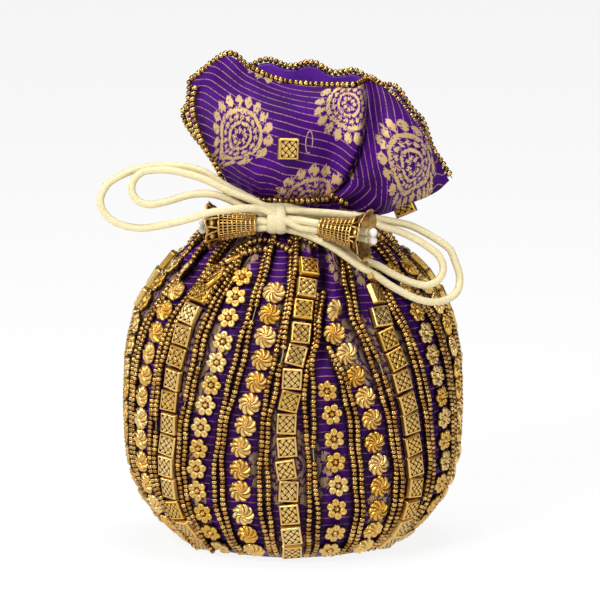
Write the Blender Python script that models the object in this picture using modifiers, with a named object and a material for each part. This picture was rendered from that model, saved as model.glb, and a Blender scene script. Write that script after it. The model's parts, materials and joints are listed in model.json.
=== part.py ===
"""Beaded potli bag with a gathered neck, a two-flap frill, bead strands and a cord bow."""

import math

import bmesh
import bpy
import numpy as np
from mathutils import Matrix, Vector

# Sizes in millimetres
belly_half_width = 74.6
belly_depth_ratio = 0.83
base_depth_ratio = 1.0
neck_half_width = 27.0
neck_depth_ratio = 0.74
neck_height = 151.0
cloth_thickness = 1.8
gather_depth = 4.0
pleat_depth = 8.0
square_bead_width = 9.2
round_bead_width = 9.8
bead_height = 3.0
bead_pitch = 10.3
seed_diameter = 2.7
cord_diameter = 3.4
cone_length = 22.0
cone_small_radius = 4.4
cone_rim_radius = 12.2
cone_wall = 0.5
cone_band = 0.25
cone_petals = 8
pearl_diameter = 4.0
strand_clearance = 0.5
strand_start = 4.0
frill_square_width = 9.3
edge_rounding = 0.5

# Half width and height of the pouch's side view, from the base to the neck
profile = [
    (41.6, 0.0), (53.8, 7.0), (63.1, 17.0), (69.6, 27.0), (73.6, 41.0), (74.6, 64.0),
    (73.6, 87.0), (69.6, 106.0), (62.6, 119.0), (52.0, 131.0), (45.0, 138.0),
    (39.0, 142.0), (27.0, 151.0), (25.5, 154.0), (28.0, 157.0),
]
neck_level = 151.0
rim_level = 157.0
levels = [0.0, 7.0, 18.0, 34.0, 56.0, 80.0, 98.0, 113.0, 126.0, 138.0, 143.0, neck_level, rim_level]

# Direction of each front row of beads round the pouch, in degrees from the front, at these heights
angle_levels = [10.0, 30.0, 50.0, 70.0, 90.0, 110.0, 125.0, 138.0]
row_angles = {
    -5: [-83.0, -82.0, -81.0, -80.0, -78.5, -76.0, -73.0, -71.0],
    -4: [-66.0, -65.5, -65.0, -63.5, -60.5, -57.0, -54.5, -53.0],
    -3: [-51.0, -50.0, -47.5, -46.5, -44.5, -42.0, -39.5, -38.0],
    -2: [-36.5, -35.5, -34.0, -31.0, -27.0, -24.5, -23.0, -22.0],
    -1: [-18.5, -18.8, -18.0, -15.5, -11.5, -9.0, -7.5, -6.5],
    0: [-0.5, -1.5, -2.3, -2.0, 0.0, 3.0, 6.5, 9.0],
    1: [18.0, 16.0, 14.5, 13.0, 11.0, 9.6, 12.5, 16.0],
    2: [36.0, 32.5, 29.7, 27.0, 21.0, 14.0, 18.5, 23.0],
    3: [53.0, 49.0, 45.5, 43.0, 38.5, 34.5, 35.0, 36.0],
    4: [70.0, 66.5, 64.3, 61.5, 57.0, 53.5, 52.0, 52.0],
    5: [87.0, 84.0, 82.0, 80.0, 76.5, 72.5, 70.0, 69.0],
}
full_row_top = 131.0
full_pair_top = 140.0
row_tops = {0: 135.0, 1: 86.0, 2: 119.0, -1: 126.0}
pair_tops = {1: 121.0, 3: 100.0}

# Front flap, from its left edge to its right edge, at four heights above the neck
front_flap = [
    [(-32, -12, 172), (-26, -22, 171), (-17, -28, 170), (-6, -30, 169), (6, -28, 168.5),
     (18, -21, 168), (28, -26, 167), (37, -23, 164), (42, -11, 155)],
    [(-42, -8, 186), (-33, -26, 190), (-20, -34, 188), (-6, -36, 186), (8, -32, 184),
     (24, -19, 184), (38, -33, 184), (53, -31, 175), (56, -13, 158)],
    [(-46.5, -7, 199), (-36, -24, 210), (-22, -30, 206), (-7, -30, 202), (10, -25, 199),
     (26, -14, 199), (41, -26, 200), (60, -26, 186), (65, -13, 163)],
    [(-45.5, -6, 213), (-30, -16, 226), (-19, -18, 220), (-5, -14, 214), (12, -10, 211.5),
     (26, -7, 211), (40, -10, 212), (56, -14, 195), (70.5, -12, 169)],
]
back_flap = [
    [(-28, 6, 169), (-22, 18, 168), (-8, 25, 168), (6, 26, 168), (19, 22, 168), (29, 16, 167), (36, 10, 165),
     (39, 2, 161)],
    [(-40, 11, 181), (-28, 23, 184), (-10, 29, 186), (8, 29, 186), (25, 25, 184), (40, 21, 180), (49, 16, 173),
     (53, 8, 167)],
    [(-46, 10, 191), (-31, 22, 199), (-10, 27, 202), (8, 26, 202), (26, 23, 199), (42, 19, 195), (54, 16, 186),
     (59, 11, 175)],
    [(-49, 8, 200), (-30, 20, 214), (-10, 22, 218), (8, 20, 217), (25, 18, 214), (42, 16, 209), (55, 14, 198),
     (62, 12, 182)],
]

# Centre lines of the cord loops
left_outer = [
    (-12.3, -28.9, 157.8), (-18, -28.2, 161.2), (-29.6, -27, 167), (-39, -26, 173), (-48, -25, 175.5),
    (-60, -24, 175.7), (-69, -24, 174.5), (-76, -24, 172), (-82.5, -24, 168), (-86, -25, 162.8),
    (-86.5, -26, 159), (-84.2, -27, 154.5), (-79, -28, 150.5), (-69, -30, 148.5), (-58, -34, 150.5),
    (-46, -39, 154.2), (-37, -42.5, 157.5), (-26, -41.4, 159.0), (-18.5, -38.8, 158.9), (-12.4, -36.1, 157.6),
]
left_inner = [
    (-12.3, -32.5, 158.9), (-18, -33.0, 161.6), (-29.6, -31.8, 166), (-39, -30.5, 170.5), (-48, -29.8, 173.2),
    (-57, -29.2, 174.8), (-66, -28.8, 173.8), (-72, -28.6, 171.5), (-76.3, -28.2, 169), (-79, -27.8, 167),
    (-78, -29.8, 164.2), (-74, -31, 162), (-68, -31.5, 160.6), (-58, -31.5, 161.4), (-46, -31.5, 164.2),
    (-37, -31.5, 164.2), (-29.6, -30.6, 162), (-20, -29, 156.9), (-12.3, -28.6, 153.6),
]
right_outer = [
    (-2.3, -28.8, 155.4), (6, -27.4, 154), (19.5, -25.5, 153.2), (32, -25, 153), (40, -24.5, 151.5),
    (46.5, -24, 150.2), (53, -23.5, 148.5), (59, -23.5, 145.6), (65.5, -24, 141.8), (70.6, -24, 137.7),
    (73, -24.5, 132.2), (74.7, -25, 127.3), (75, -26, 122.4), (73.8, -28, 118.6), (69.5, -31, 116.4),
    (63, -34.3, 115.6), (56, -37.0, 117.4), (49.6, -38.9, 120.6), (43.2, -40.4, 124.5), (36.9, -41.7, 129),
    (30.5, -42.4, 132.8), (24, -41.8, 137.4), (17, -39.5, 141.8), (10, -36.5, 144.9), (3, -33.8, 147.3),
    (-2.3, -32.6, 148.4),
]
right_inner = [
    (-2.3, -32.6, 157.0), (6, -31.2, 156.2), (19.5, -30, 155), (32, -29.8, 153.2), (40, -29, 149.2),
    (46.5, -28.8, 147.2), (53, -28.6, 144.4), (59, -28.6, 140.9), (64.4, -29, 137), (69, -29.4, 132.6),
    (71.4, -30, 129.6), (70.6, -31, 126.6), (67.3, -32.2, 124), (62, -32.8, 122.9), (56, -33.6, 123.6),
    (49.6, -35.6, 126.2), (43.2, -37.6, 129.8), (38, -38.6, 133), (33, -38.6, 134.9), (27.5, -38.3, 138),
    (20, -35.8, 143.4), (10, -31.6, 148.6), (3, -29.8, 150.1), (-2.3, -28.8, 150.6),
]

# The small end's place and the rim's place of each cone's axis
left_cone_ends = ((-16.0, -35.0, 151.0), (-36.8, -31.6, 150.1))
right_cone_ends = ((12.7, -41.5, 150.6), (33.0, -49.5, 148.3))
knot_centre = (-7.3, -32.4, 152.9)
knot_half = (4.3, 6.2, 6.9)
left_lead_start = (-12.0, -35.6, 151.2)
right_lead_start = (-2.2, -35.6, 152.0)

metre = 0.001
columns = 42
rows_round = columns // 2
full_turn = 360.0
slit_column = 11
drawn_belly = 74.6
drawn_neck = 27.0
height_scale = neck_height / neck_level
width_scale = belly_half_width / drawn_belly

collection = bpy.data.collections.new("potli_bag")


def clear_scene():
    for thing in list(bpy.data.objects):
        bpy.data.objects.remove(thing, do_unlink=True)


def make_material(name, colour, metallic, roughness):
    material = bpy.data.materials.new(name)
    material.use_nodes = True
    shader = material.node_tree.nodes["Principled BSDF"]
    shader.inputs["Base Color"].default_value = (*colour, 1.0)
    shader.inputs["Metallic"].default_value = metallic
    shader.inputs["Roughness"].default_value = roughness
    material.diffuse_color = (*colour, 1.0)
    return material


def link_object(name, data, material):
    data.materials.append(material)
    thing = bpy.data.objects.new(name, data)
    collection.objects.link(thing)
    return thing


def link_mesh(name, points, faces, material):
    """Points in millimetres and their faces become one object."""
    mesh = bpy.data.meshes.new(name)
    mesh.from_pydata([tuple(float(v) * metre for v in p) for p in points], [], [tuple(f) for f in faces])
    mesh.shade_smooth()
    mesh.set_sharp_from_angle(angle=math.radians(40))
    return link_object(name, mesh, material)


def axes_matrix(centre, across, up, out):
    """Placement of a piece whose own X, Y and Z lie along three directions."""
    turn = Matrix([Vector(across), Vector(up), Vector(out)]).transposed().to_4x4()
    return Matrix.Translation(Vector(centre) * metre) @ turn


def frame_on(axis, near):
    """Two directions square to an axis, the first close to the given one."""
    way = unit(axis)
    first = unit(np.array(near, float) - way * float(way @ np.array(near, float)))
    return first, np.cross(way, first), way


def smooth_line(points, count):
    """A Catmull-Rom curve through the points, read at evenly spaced lengths."""
    knots = np.array(points, float)
    ends = np.vstack([2 * knots[0] - knots[1], knots, 2 * knots[-1] - knots[-2]])
    fine = []
    for i in range(1, len(ends) - 2):
        for t in np.arange(0, 1, 0.05):
            a, b, c, d = ends[i - 1], ends[i], ends[i + 1], ends[i + 2]
            fine.append(0.5 * (2 * b + (c - a) * t + (2 * a - 5 * b + 4 * c - d) * t ** 2
                               + (3 * b - a - 3 * c + d) * t ** 3))
    fine.append(ends[-2])
    fine = np.array(fine)
    lengths = np.concatenate([[0], np.cumsum(np.linalg.norm(np.diff(fine, axis=0), axis=1))])
    wanted = np.linspace(0, lengths[-1], count)
    return np.array([np.interp(wanted, lengths, fine[:, i]) for i in range(3)]).T


def unit(vector):
    return np.array(vector, float) / max(np.linalg.norm(vector), 1e-9)


def ramp(value, low, high):
    t = min(max((value - low) / (high - low), 0.0), 1.0)
    return t * t * (3 - 2 * t)


def plain_angle(row):
    theta = row * 2 * math.pi / rows_round
    return math.degrees(theta - 0.045 * math.sin(2 * theta))


def row_angle(row, height):
    """Degrees from the front of a whole-numbered row; the rows behind are spread evenly."""
    row = (row + 10) % 21 - 10
    if row in row_angles:
        return float(np.interp(height, angle_levels, row_angles[row]))
    first = row_angle(5, height)
    last = row_angle(-5, height) + full_turn
    turn = plain_angle(row) if row > 0 else plain_angle(row) + full_turn
    share = (turn - plain_angle(5)) / (plain_angle(-5) + full_turn - plain_angle(5))
    angle = first + share * (last - first)
    return angle if row > 0 else angle - full_turn


def column_angle(column, height):
    """Even columns are the rows of large beads, odd ones the seed strands between them."""
    column = (column + 21) % 42 - 21
    if column % 2 == 0:
        return row_angle(column // 2, height)
    left = row_angle((column - 1) // 2, height)
    right = row_angle((column + 1) // 2, height)
    if right < left:
        right += full_turn
    middle = (left + right) / 2
    if column == 1:
        middle += 1.4 * ramp(height, 88, 106)
    return middle


def half_width(height):
    heights = [p[1] for p in profile]
    widths = [p[0] for p in profile]
    share = ramp(height, 131, neck_level)
    scale = width_scale * (1 - share) + neck_half_width / drawn_neck * share
    return float(np.interp(height, heights, widths)) * scale


def depth_ratio(height):
    """Depth over width: the base is rounder than the belly, and the neck is drawn flatter."""
    lower = base_depth_ratio + (belly_depth_ratio - base_depth_ratio) * ramp(height, 0, 45)
    share = ramp(height, 125, neck_level)
    return lower * (1 - share) + neck_depth_ratio * share


def gather(column, height):
    """How far the cloth is drawn in at a column, below the ridges of the gathers."""
    column = (column + 21) % 42 - 21
    depth = 0.0
    if column % 2:
        depth = gather_depth * ramp(height, 95, 130) * (1 - 0.2 * ramp(height, 140, neck_level))
    pleat = pleat_depth * ramp(height, 84, 108) * (1 - 0.55 * ramp(height, 128, neck_level))
    depth += {2: pleat, 3: 0.45 * pleat, 1: 0.12 * pleat}.get(column, 0.0)
    return depth


def cloth_point(column, height, inset=0.0):
    """A place on the pouch at a column and a height of the profile table."""
    angle = math.radians(column_angle(column, height))
    width = half_width(height)
    ratio = depth_ratio(height)
    reach = 1 - (gather(column, height) + inset) / width
    x = width * reach * math.sin(angle)
    y = -width * ratio * reach * math.cos(angle)
    return np.array([x, y, height * height_scale])


def placed(point):
    """A hand-placed point moved with the bag's width and height."""
    return np.array([point[0] * width_scale, point[1] * width_scale, point[2] * height_scale])


def spread(row, count):
    """A row of net points read at a number of even steps."""
    knots = np.array([placed(p) for p in row])
    ends = np.vstack([2 * knots[0] - knots[1], knots, 2 * knots[-1] - knots[-2]])
    found = []
    for s in np.linspace(0, len(knots) - 1, count):
        i = min(int(s), len(knots) - 2)
        t = s - i
        a, b, c, d = ends[i], ends[i + 1], ends[i + 2], ends[i + 3]
        found.append(0.5 * (2 * b + (c - a) * t + (2 * a - 5 * b + 4 * c - d) * t ** 2
                            + (3 * b - a - 3 * c + d) * t ** 3))
    return np.array(found)


def sheet_normals(grid):
    """Outward directions of a grid of points, rows upwards and columns from left to right seen from outside."""
    across = np.gradient(grid, axis=1)
    up = np.gradient(grid, axis=0)
    normal = np.cross(across, up)
    return normal / np.linalg.norm(normal, axis=2, keepdims=True)


front_columns = list(range(-slit_column, slit_column + 1))
back_columns = list(range(slit_column, columns - slit_column + 1))
front_grid = np.array([[cloth_point(c, rim_level) for c in front_columns]]
                      + [spread(row, len(front_columns)) for row in front_flap])
back_grid = np.array([[cloth_point(c, rim_level) for c in back_columns]]
                     + [spread(row[::-1], len(back_columns)) for row in back_flap])
front_normals = sheet_normals(front_grid)
back_normals = sheet_normals(back_grid)


def build_shell(material):
    """The cloth as one open sheet: pouch rings from the base up, and the two flaps above the neck."""
    points = []
    faces = []

    def add_row(places):
        first = len(points)
        points.extend(places)
        return list(range(first, len(points)))

    def join_rows(low, high, around):
        for j in range(len(low) if around else len(low) - 1):
            k = (j + 1) % len(low)
            faces.append([low[j], low[k], high[k], high[j]])

    rings = [add_row([cloth_point(c, z) for c in range(columns)]) for z in levels]
    for low, high in zip(rings, rings[1:]):
        join_rows(low, high, True)
    bottom = add_row([np.zeros(3)])[0]
    for j in range(columns):
        faces.append([rings[0][(j + 1) % columns], rings[0][j], bottom])
    for grid, order in ((front_grid, front_columns), (back_grid, back_columns)):
        rows = [[rings[-1][c % columns] for c in order]] + [add_row(list(row)) for row in grid[1:]]
        for low, high in zip(rows, rows[1:]):
            join_rows(low, high, False)
    cloth = link_mesh("bag_shell", points, faces, material)
    wall = cloth.modifiers.new("cloth", "SOLIDIFY")
    wall.thickness = cloth_thickness * metre
    wall.offset = -1.0
    return cloth


def strand_line(column, low, high):
    """Places, outward directions and side slopes along a column of the pouch."""
    heights = sorted({low, high, *[z for z in levels if low < z < high]})
    places = []
    for z in heights:
        upper = next(i for i, level in enumerate(levels) if level >= z)
        upper = max(upper, 1)
        z0, z1 = levels[upper - 1], levels[upper]
        share = (z - z0) / (z1 - z0)
        trio = []
        for side in (-1, 0, 1):
            a = cloth_point(column + side, z0)
            b = cloth_point(column + side, z1)
            trio.append(a + (b - a) * share)
        places.append(trio)
    places = np.array(places)
    centre = places[:, 1]
    along = np.gradient(centre, axis=0)
    rows = []
    for i in range(len(centre)):
        forward = unit(along[i])
        across = unit(places[i][2] - places[i][0])
        normal = unit(np.cross(across, forward))
        side = np.cross(forward, normal)
        left = places[i][0] - centre[i]
        right = places[i][2] - centre[i]
        slope = max(left @ normal / max(abs(left @ side), 0.1), right @ normal / max(abs(right @ side), 0.1), 0.0)
        room = min(abs(left @ side), abs(right @ side))
        rows.append(np.concatenate([centre[i], normal, side, [slope, room]]))
    rows = np.array(rows)
    steps = np.linalg.norm(np.diff(rows[:, :3], axis=0), axis=1)
    return np.concatenate([[0], np.cumsum(steps)]), rows


def lifts(stations, bases, normals, lengths, rows):
    """How much each station must rise so that straight runs between stations clear the cloth."""
    found = [0.0] * len(stations)
    for i in range(len(stations) - 1):
        s0, s1 = stations[i], stations[i + 1]
        for place, s in [(rows[n][:3], lengths[n]) for n in range(len(lengths)) if s0 < lengths[n] < s1]:
            share = (s - s0) / (s1 - s0)
            chord = bases[i] + (bases[i + 1] - bases[i]) * share
            normal = unit(normals[i] + normals[i + 1])
            short = strand_clearance - float((chord - place) @ normal)
            found[i] = max(found[i], short)
            found[i + 1] = max(found[i + 1], short)
    return found


def loft(name, rings, material):
    """Rings of equal count joined end to end and closed with flat ends."""
    points = [p for ring in rings for p in ring]
    count = len(rings[0])
    faces = []
    for i in range(len(rings) - 1):
        for j in range(count):
            k = (j + 1) % count
            faces.append([i * count + j, i * count + k, (i + 1) * count + k, (i + 1) * count + j])
    faces.append(list(range(count))[::-1])
    faces.append([(len(rings) - 1) * count + j for j in range(count)])
    thing = link_mesh(name, points, faces, material)
    work = bmesh.new()
    work.from_mesh(thing.data)
    bmesh.ops.recalc_face_normals(work, faces=work.faces)
    work.to_mesh(thing.data)
    work.free()
    return thing


bead_shapes = {
    "square": [(0.06, 1.0, 0.85), (0.94, 1.0, 0.85), (1.0, 0.25, 0.4)],
    "flower": [(0.2, 0.78, 0.7), (0.52, 1.0, 1.05), (1.0, 0.22, 0.35)],
    "swirl": [(0.2, 0.92, 0.85), (0.72, 0.96, 0.95), (1.0, 0.22, 0.35)],
}


def build_bead_strand(name, kind, row, material):
    lengths, rows = strand_line(2 * row, strand_start, row_tops.get((row + 10) % 21 - 10, full_row_top))
    count = max(round(lengths[-1] / bead_pitch), 2)
    pitch = lengths[-1] / count
    full = (square_bead_width if kind == "square" else round_bead_width) / 2
    stations = [(0.0, 0.3, 0.35)]
    for i in range(count):
        stations += [((i + share) * pitch, wide, tall) for share, wide, tall in bead_shapes[kind]]
    values = [np.array([np.interp(s, lengths, rows[:, i]) for i in range(rows.shape[1])]) for s, _, _ in stations]
    normals = [unit(value[3:6]) for value in values]
    bases = [value[:3] + normal * (strand_clearance + value[9] * station[1] * full)
             for value, normal, station in zip(values, normals, stations)]
    rise_by = lifts([station[0] for station in stations], bases, normals, lengths, rows)
    rings = []
    for (s, wide, tall), value, normal, base, more in zip(stations, values, normals, bases, rise_by):
        base = base + normal * more
        half = unit(value[6:9]) * wide * full
        rise = normal * tall * bead_height
        if kind == "square":
            rings.append([base - half, base + half, base + 0.9 * half + rise, base - 0.9 * half + rise])
        else:
            rings.append([base - half, base + half, base + rise])
    return loft(name, rings, material)


def build_seed_pair(name, column, material):
    lengths, rows = strand_line(column, strand_start, pair_tops.get((column + 21) % 42 - 21, full_pair_top))
    rings = []
    for value in rows:
        place, normal, side = value[:3], unit(value[3:6]), unit(value[6:9])
        room = value[10] - square_bead_width / 2 - 0.35
        half = min(max(room, 0.38 * seed_diameter), seed_diameter)
        base = place + normal * (strand_clearance + 0.15 + value[9] * half)
        rise = normal * seed_diameter * 0.9
        rings.append([base - side * half, base + side * half, base + rise])
    return loft(name, rings, material)


def build_wire(name, places, radius, roundness, material):
    """A round tube along places in millimetres, with filled ends."""
    curve = bpy.data.curves.new(name, "CURVE")
    curve.dimensions = "3D"
    curve.bevel_depth = radius * metre
    curve.bevel_resolution = roundness
    curve.use_fill_caps = True
    spline = curve.splines.new("POLY")
    spline.points.add(len(places) - 1)
    for point, place in zip(spline.points, places):
        point.co = (*(np.array(place) * metre), 1.0)
    return link_object(name, curve, material)


def flap_edge(grid, normals, sides):
    """The line just outside a flap's rim, from one side edge over the top to the other."""
    radius = seed_diameter / 2
    reach = radius * 1.15 + 0.45
    middle = grid - normals * cloth_thickness / 2
    places = []
    if "first" in sides:
        for i in (1, 2, 3):
            out = unit(middle[i][0] - middle[i][1])
            places.append(middle[i][0] + out * reach)
    for j in range(grid.shape[1]):
        up = unit(middle[-1][j] - middle[-2][j])
        out = up
        if j == 0 and "first" in sides:
            out = up + unit(middle[-1][0] - middle[-1][1])
        if j == grid.shape[1] - 1 and "last" in sides:
            out = up + unit(middle[-1][j] - middle[-1][j - 1])
        places.append(middle[-1][j] + out * reach)
    if "last" in sides:
        for i in (3, 2, 1):
            out = unit(middle[i][-1] - middle[i][-2])
            places.append(middle[i][-1] + out * reach)
    return places


def build_tile(name, centre, across, up, out, size, material):
    """A square bead: a cube of its size with rounded edges."""
    mesh = bpy.data.meshes.new(name)
    work = bmesh.new()
    bmesh.ops.create_cube(work, size=1.0)
    bmesh.ops.scale(work, verts=work.verts, vec=Vector(size) * metre)
    work.to_mesh(mesh)
    work.free()
    tile = link_object(name, mesh, material)
    tile.matrix_world = axes_matrix(centre, across, up, out)
    rounding = tile.modifiers.new("rounded_edges", "BEVEL")
    rounding.width = edge_rounding * metre
    rounding.segments = 1
    return tile


def build_turned(name, outline, steps, material):
    """Turns an outline of radius and height, given from the top down its outer side, round the object's Z axis."""
    mesh = bpy.data.meshes.new(name)
    closed = outline[0][0] > 0
    edges = [(i, i + 1) for i in range(len(outline) - 1)]
    if closed:
        edges.append((len(outline) - 1, 0))
    mesh.from_pydata([(radius * metre, 0.0, height * metre) for radius, height in outline], edges, [])
    turned = link_object(name, mesh, material)
    screw = turned.modifiers.new("turn", "SCREW")
    screw.steps = steps
    screw.render_steps = steps
    screw.use_merge_vertices = True
    screw.merge_threshold = 0.00001
    return turned


def cone_outline(wide):
    """Radius and height of a filigree cone: a ring at its small end, a ring before the flared rim, and its bore."""
    length, small = cone_length, cone_small_radius
    spread_out = wide - small
    collar = small + 0.37 * spread_out
    flare = small + 0.68 * spread_out
    outer = [
        (wide, length), (flare, 0.88 * length), (collar, 0.76 * length), (collar + cone_band, 0.74 * length),
        (collar + cone_band, 0.70 * length), (collar - 0.3, 0.68 * length), (small + 0.22 * spread_out, 0.42 * length),
        (small, 0.09 * length), (small + cone_band, 0.07 * length), (small + cone_band, 0.0),
    ]
    inner = [
        (small - cone_wall, 0.0), (small + 0.22 * spread_out - cone_wall, 0.42 * length),
        (collar - 0.3 - cone_wall, 0.70 * length), (flare - cone_wall - 0.35, 0.88 * length + 0.4),
        (wide - 0.9, length - 0.1),
    ]
    return outer + inner


def build_cone(name, ends, rim_scale, material):
    """The rim's edge is scalloped after turning, one petal to every two steps."""
    small, rim = placed(ends[0]), placed(ends[1])
    wide = cone_rim_radius * rim_scale
    blank = build_turned(name + "_blank", cone_outline(wide), 2 * cone_petals, material)
    seen = blank.evaluated_get(bpy.context.evaluated_depsgraph_get())
    mesh = bpy.data.meshes.new_from_object(seen)
    bpy.data.objects.remove(blank, do_unlink=True)
    for vertex in mesh.vertices:
        radius = math.hypot(vertex.co.x, vertex.co.y) / metre
        if vertex.co.z / metre > cone_length - 0.2:
            turn = round(math.atan2(vertex.co.y, vertex.co.x) / (math.pi / cone_petals))
            if turn % 2:
                vertex.co.x *= (radius - 0.9) / radius
                vertex.co.y *= (radius - 0.9) / radius
                vertex.co.z -= 0.8 * metre
    mesh.name = name
    cone = bpy.data.objects.new(name, mesh)
    collection.objects.link(cone)
    first, second, way = frame_on(rim - small, (0.0, 0.3, 1.0))
    cone.matrix_world = axes_matrix(small, first, second, way)
    return cone


def build_lead(name, start, ends, material):
    """Two cord strands side by side, from the knot to the pearls in the cone."""
    small, rim = placed(ends[0]), placed(ends[1])
    way = unit(rim - small)
    begin = small - way * (abs(small[0] - start[0] * width_scale) / max(abs(way[0]), 0.1))
    finish = small + way * (cone_length + 0.4)
    across = unit(np.cross(way, [0.0, 1.0, 0.2]))
    radius = cord_diameter / 2 * 0.98
    curve = bpy.data.curves.new(name, "CURVE")
    curve.dimensions = "2D"
    curve.fill_mode = "BOTH"
    curve.extrude = float(np.linalg.norm(finish - begin)) / 2 * metre
    spline = curve.splines.new("POLY")
    spline.points.add(11)
    spline.use_cyclic_u = True
    for turn, point in enumerate(spline.points):
        angle = 2 * math.pi * (turn + 0.5) / 12
        shift = radius * (1 if math.cos(angle) > 0 else -1)
        point.co = ((shift + radius * math.cos(angle)) * metre, radius * math.sin(angle) * metre, 0.0, 1.0)
    lead = link_object(name, curve, material)
    lead.matrix_world = axes_matrix((begin + finish) / 2, across, np.cross(way, across), way)
    return lead


def build_pearls(name, ends, material):
    """Two round stoppers, one on each strand's end, touching each other."""
    small, rim = placed(ends[0]), placed(ends[1])
    way = unit(rim - small)
    radius = pearl_diameter / 2
    centre = small + way * (cone_length + 0.4 + 0.35 + radius)
    upper = [(0.0, 1.94), (0.5, 1.83), (0.86, 1.5), (1.0, 0.97), (0.86, 0.42), (0.5, 0.09)]
    outline = [(r * radius, h * radius) for r, h in upper]
    outline += [(r * radius, -h * radius) for r, h in upper[::-1]]
    pearls = build_turned(name, outline, 8, material)
    across = np.cross(way, [0.0, 1.0, 0.2])
    second, third, axis = frame_on(across, way)
    pearls.matrix_world = axes_matrix(centre, second, third, axis)
    return pearls


def build_cord(name, line, count, material):
    return build_wire(name, smooth_line([placed(p) for p in line], count), cord_diameter / 2, 2, material)


def build_knot(material):
    """Two flattened wraps of cord side by side round the bundle."""
    deep, tall = knot_half[1], knot_half[2]
    upper = [(0.0, 1.0), (0.86, 1.0), (1.0, 0.5), (0.9, 0.0), (1.0, -0.5), (0.86, -1.0), (0.0, -1.0)]
    knot = build_turned("cord_knot", [(r * deep, h * knot_half[0]) for r, h in upper], 12, material)
    knot.matrix_world = axes_matrix(placed(knot_centre), (0.0, 1.0, 0.0), (0.0, 0.0, 1.0), (1.0, 0.0, 0.0))
    knot.scale = (1.0, tall / deep, 1.0)
    return knot


def main():
    clear_scene()
    bpy.context.scene.collection.children.link(collection)
    brocade = make_material("violet_brocade", (0.09, 0.015, 0.29), 0.0, 0.6)
    gold = make_material("antique_gold", (0.65, 0.36, 0.06), 1.0, 0.35)
    bronze = make_material("bronze_seed", (0.3, 0.15, 0.03), 0.9, 0.3)
    satin = make_material("cream_satin", (0.85, 0.78, 0.48), 0.0, 0.5)
    filigree = make_material("filigree_gold", (0.5, 0.26, 0.05), 1.0, 0.4)
    pearl = make_material("white_pearl", (0.85, 0.82, 0.78), 0.0, 0.2)

    build_shell(brocade)
    kinds = ("square", "flower", "swirl")
    counts = {kind: 0 for kind in kinds}
    for row in range(21):
        kind = kinds[((row + 10) % 21 - 10) % 3]
        counts[kind] += 1
        build_bead_strand(f"strand_{kind}_{counts[kind]}", kind, row, gold)
    for row in range(21):
        build_seed_pair(f"seed_pair_{row + 1}", 2 * row + 1, bronze)

    build_wire("front_trim", flap_edge(front_grid, front_normals, ("first",)), seed_diameter / 2, 1, bronze)
    build_wire("back_trim", flap_edge(back_grid, back_normals, ("first", "last")), seed_diameter / 2, 1, bronze)

    string = []
    for column in (-6, -4, -2, 0, 2, 4, 6):
        j = column + slit_column
        place = front_grid[0][j] + 0.28 * (front_grid[1][j] - front_grid[0][j])
        normal = unit(front_normals[0][j] + front_normals[1][j])
        if column == 2:
            place = place + normal * 2.5
        string.append(place + normal * (seed_diameter / 2 + 1.0))
    build_wire("neck_string", string, seed_diameter / 2, 1, bronze)

    j = 9
    normal = front_normals[2][j]
    place = front_grid[2][j]
    near = (front_grid.reshape(-1, 3) - place)
    near = near[np.linalg.norm(near, axis=1) < 11]
    lift = max(float((near @ normal).max()), 0.0) + strand_clearance
    side = unit(np.cross(np.array([0.1, 0.0, 1.0]), normal))
    build_tile("frill_square", place + normal * (lift + bead_height / 2), side, np.cross(normal, side), normal,
              (frill_square_width, frill_square_width, bead_height), gold)
    corner = (front_grid[1][-1] + front_grid[2][-1]) / 2
    inward = (front_grid[1][-2] + front_grid[2][-2]) / 2
    along = unit(front_grid[2][-1] - front_grid[1][-1])
    out = unit(corner - inward - along * float((corner - inward) @ along))
    skin = (front_normals[1][-1] + front_normals[2][-1]) / 2
    build_tile("edge_square", corner - unit(skin) * cloth_thickness / 2 + out * (bead_height / 2 + 0.9), along,
              np.cross(out, along), out, (9.0, 8.0, bead_height), gold)

    build_knot(satin)
    build_cord("loop_left_outer", left_outer, 28, satin)
    build_cord("loop_left_inner", left_inner, 26, satin)
    build_cord("loop_right_outer", right_outer, 32, satin)
    build_cord("loop_right_inner", right_inner, 28, satin)
    build_lead("lead_left", left_lead_start, left_cone_ends, satin)
    build_lead("lead_right", right_lead_start, right_cone_ends, satin)
    build_cone("cone_left", left_cone_ends, 0.9, filigree)
    build_cone("cone_right", right_cone_ends, 1.0, filigree)
    build_pearls("pearls_left", left_cone_ends, pearl)
    build_pearls("pearls_right", right_cone_ends, pearl)


main()
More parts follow.
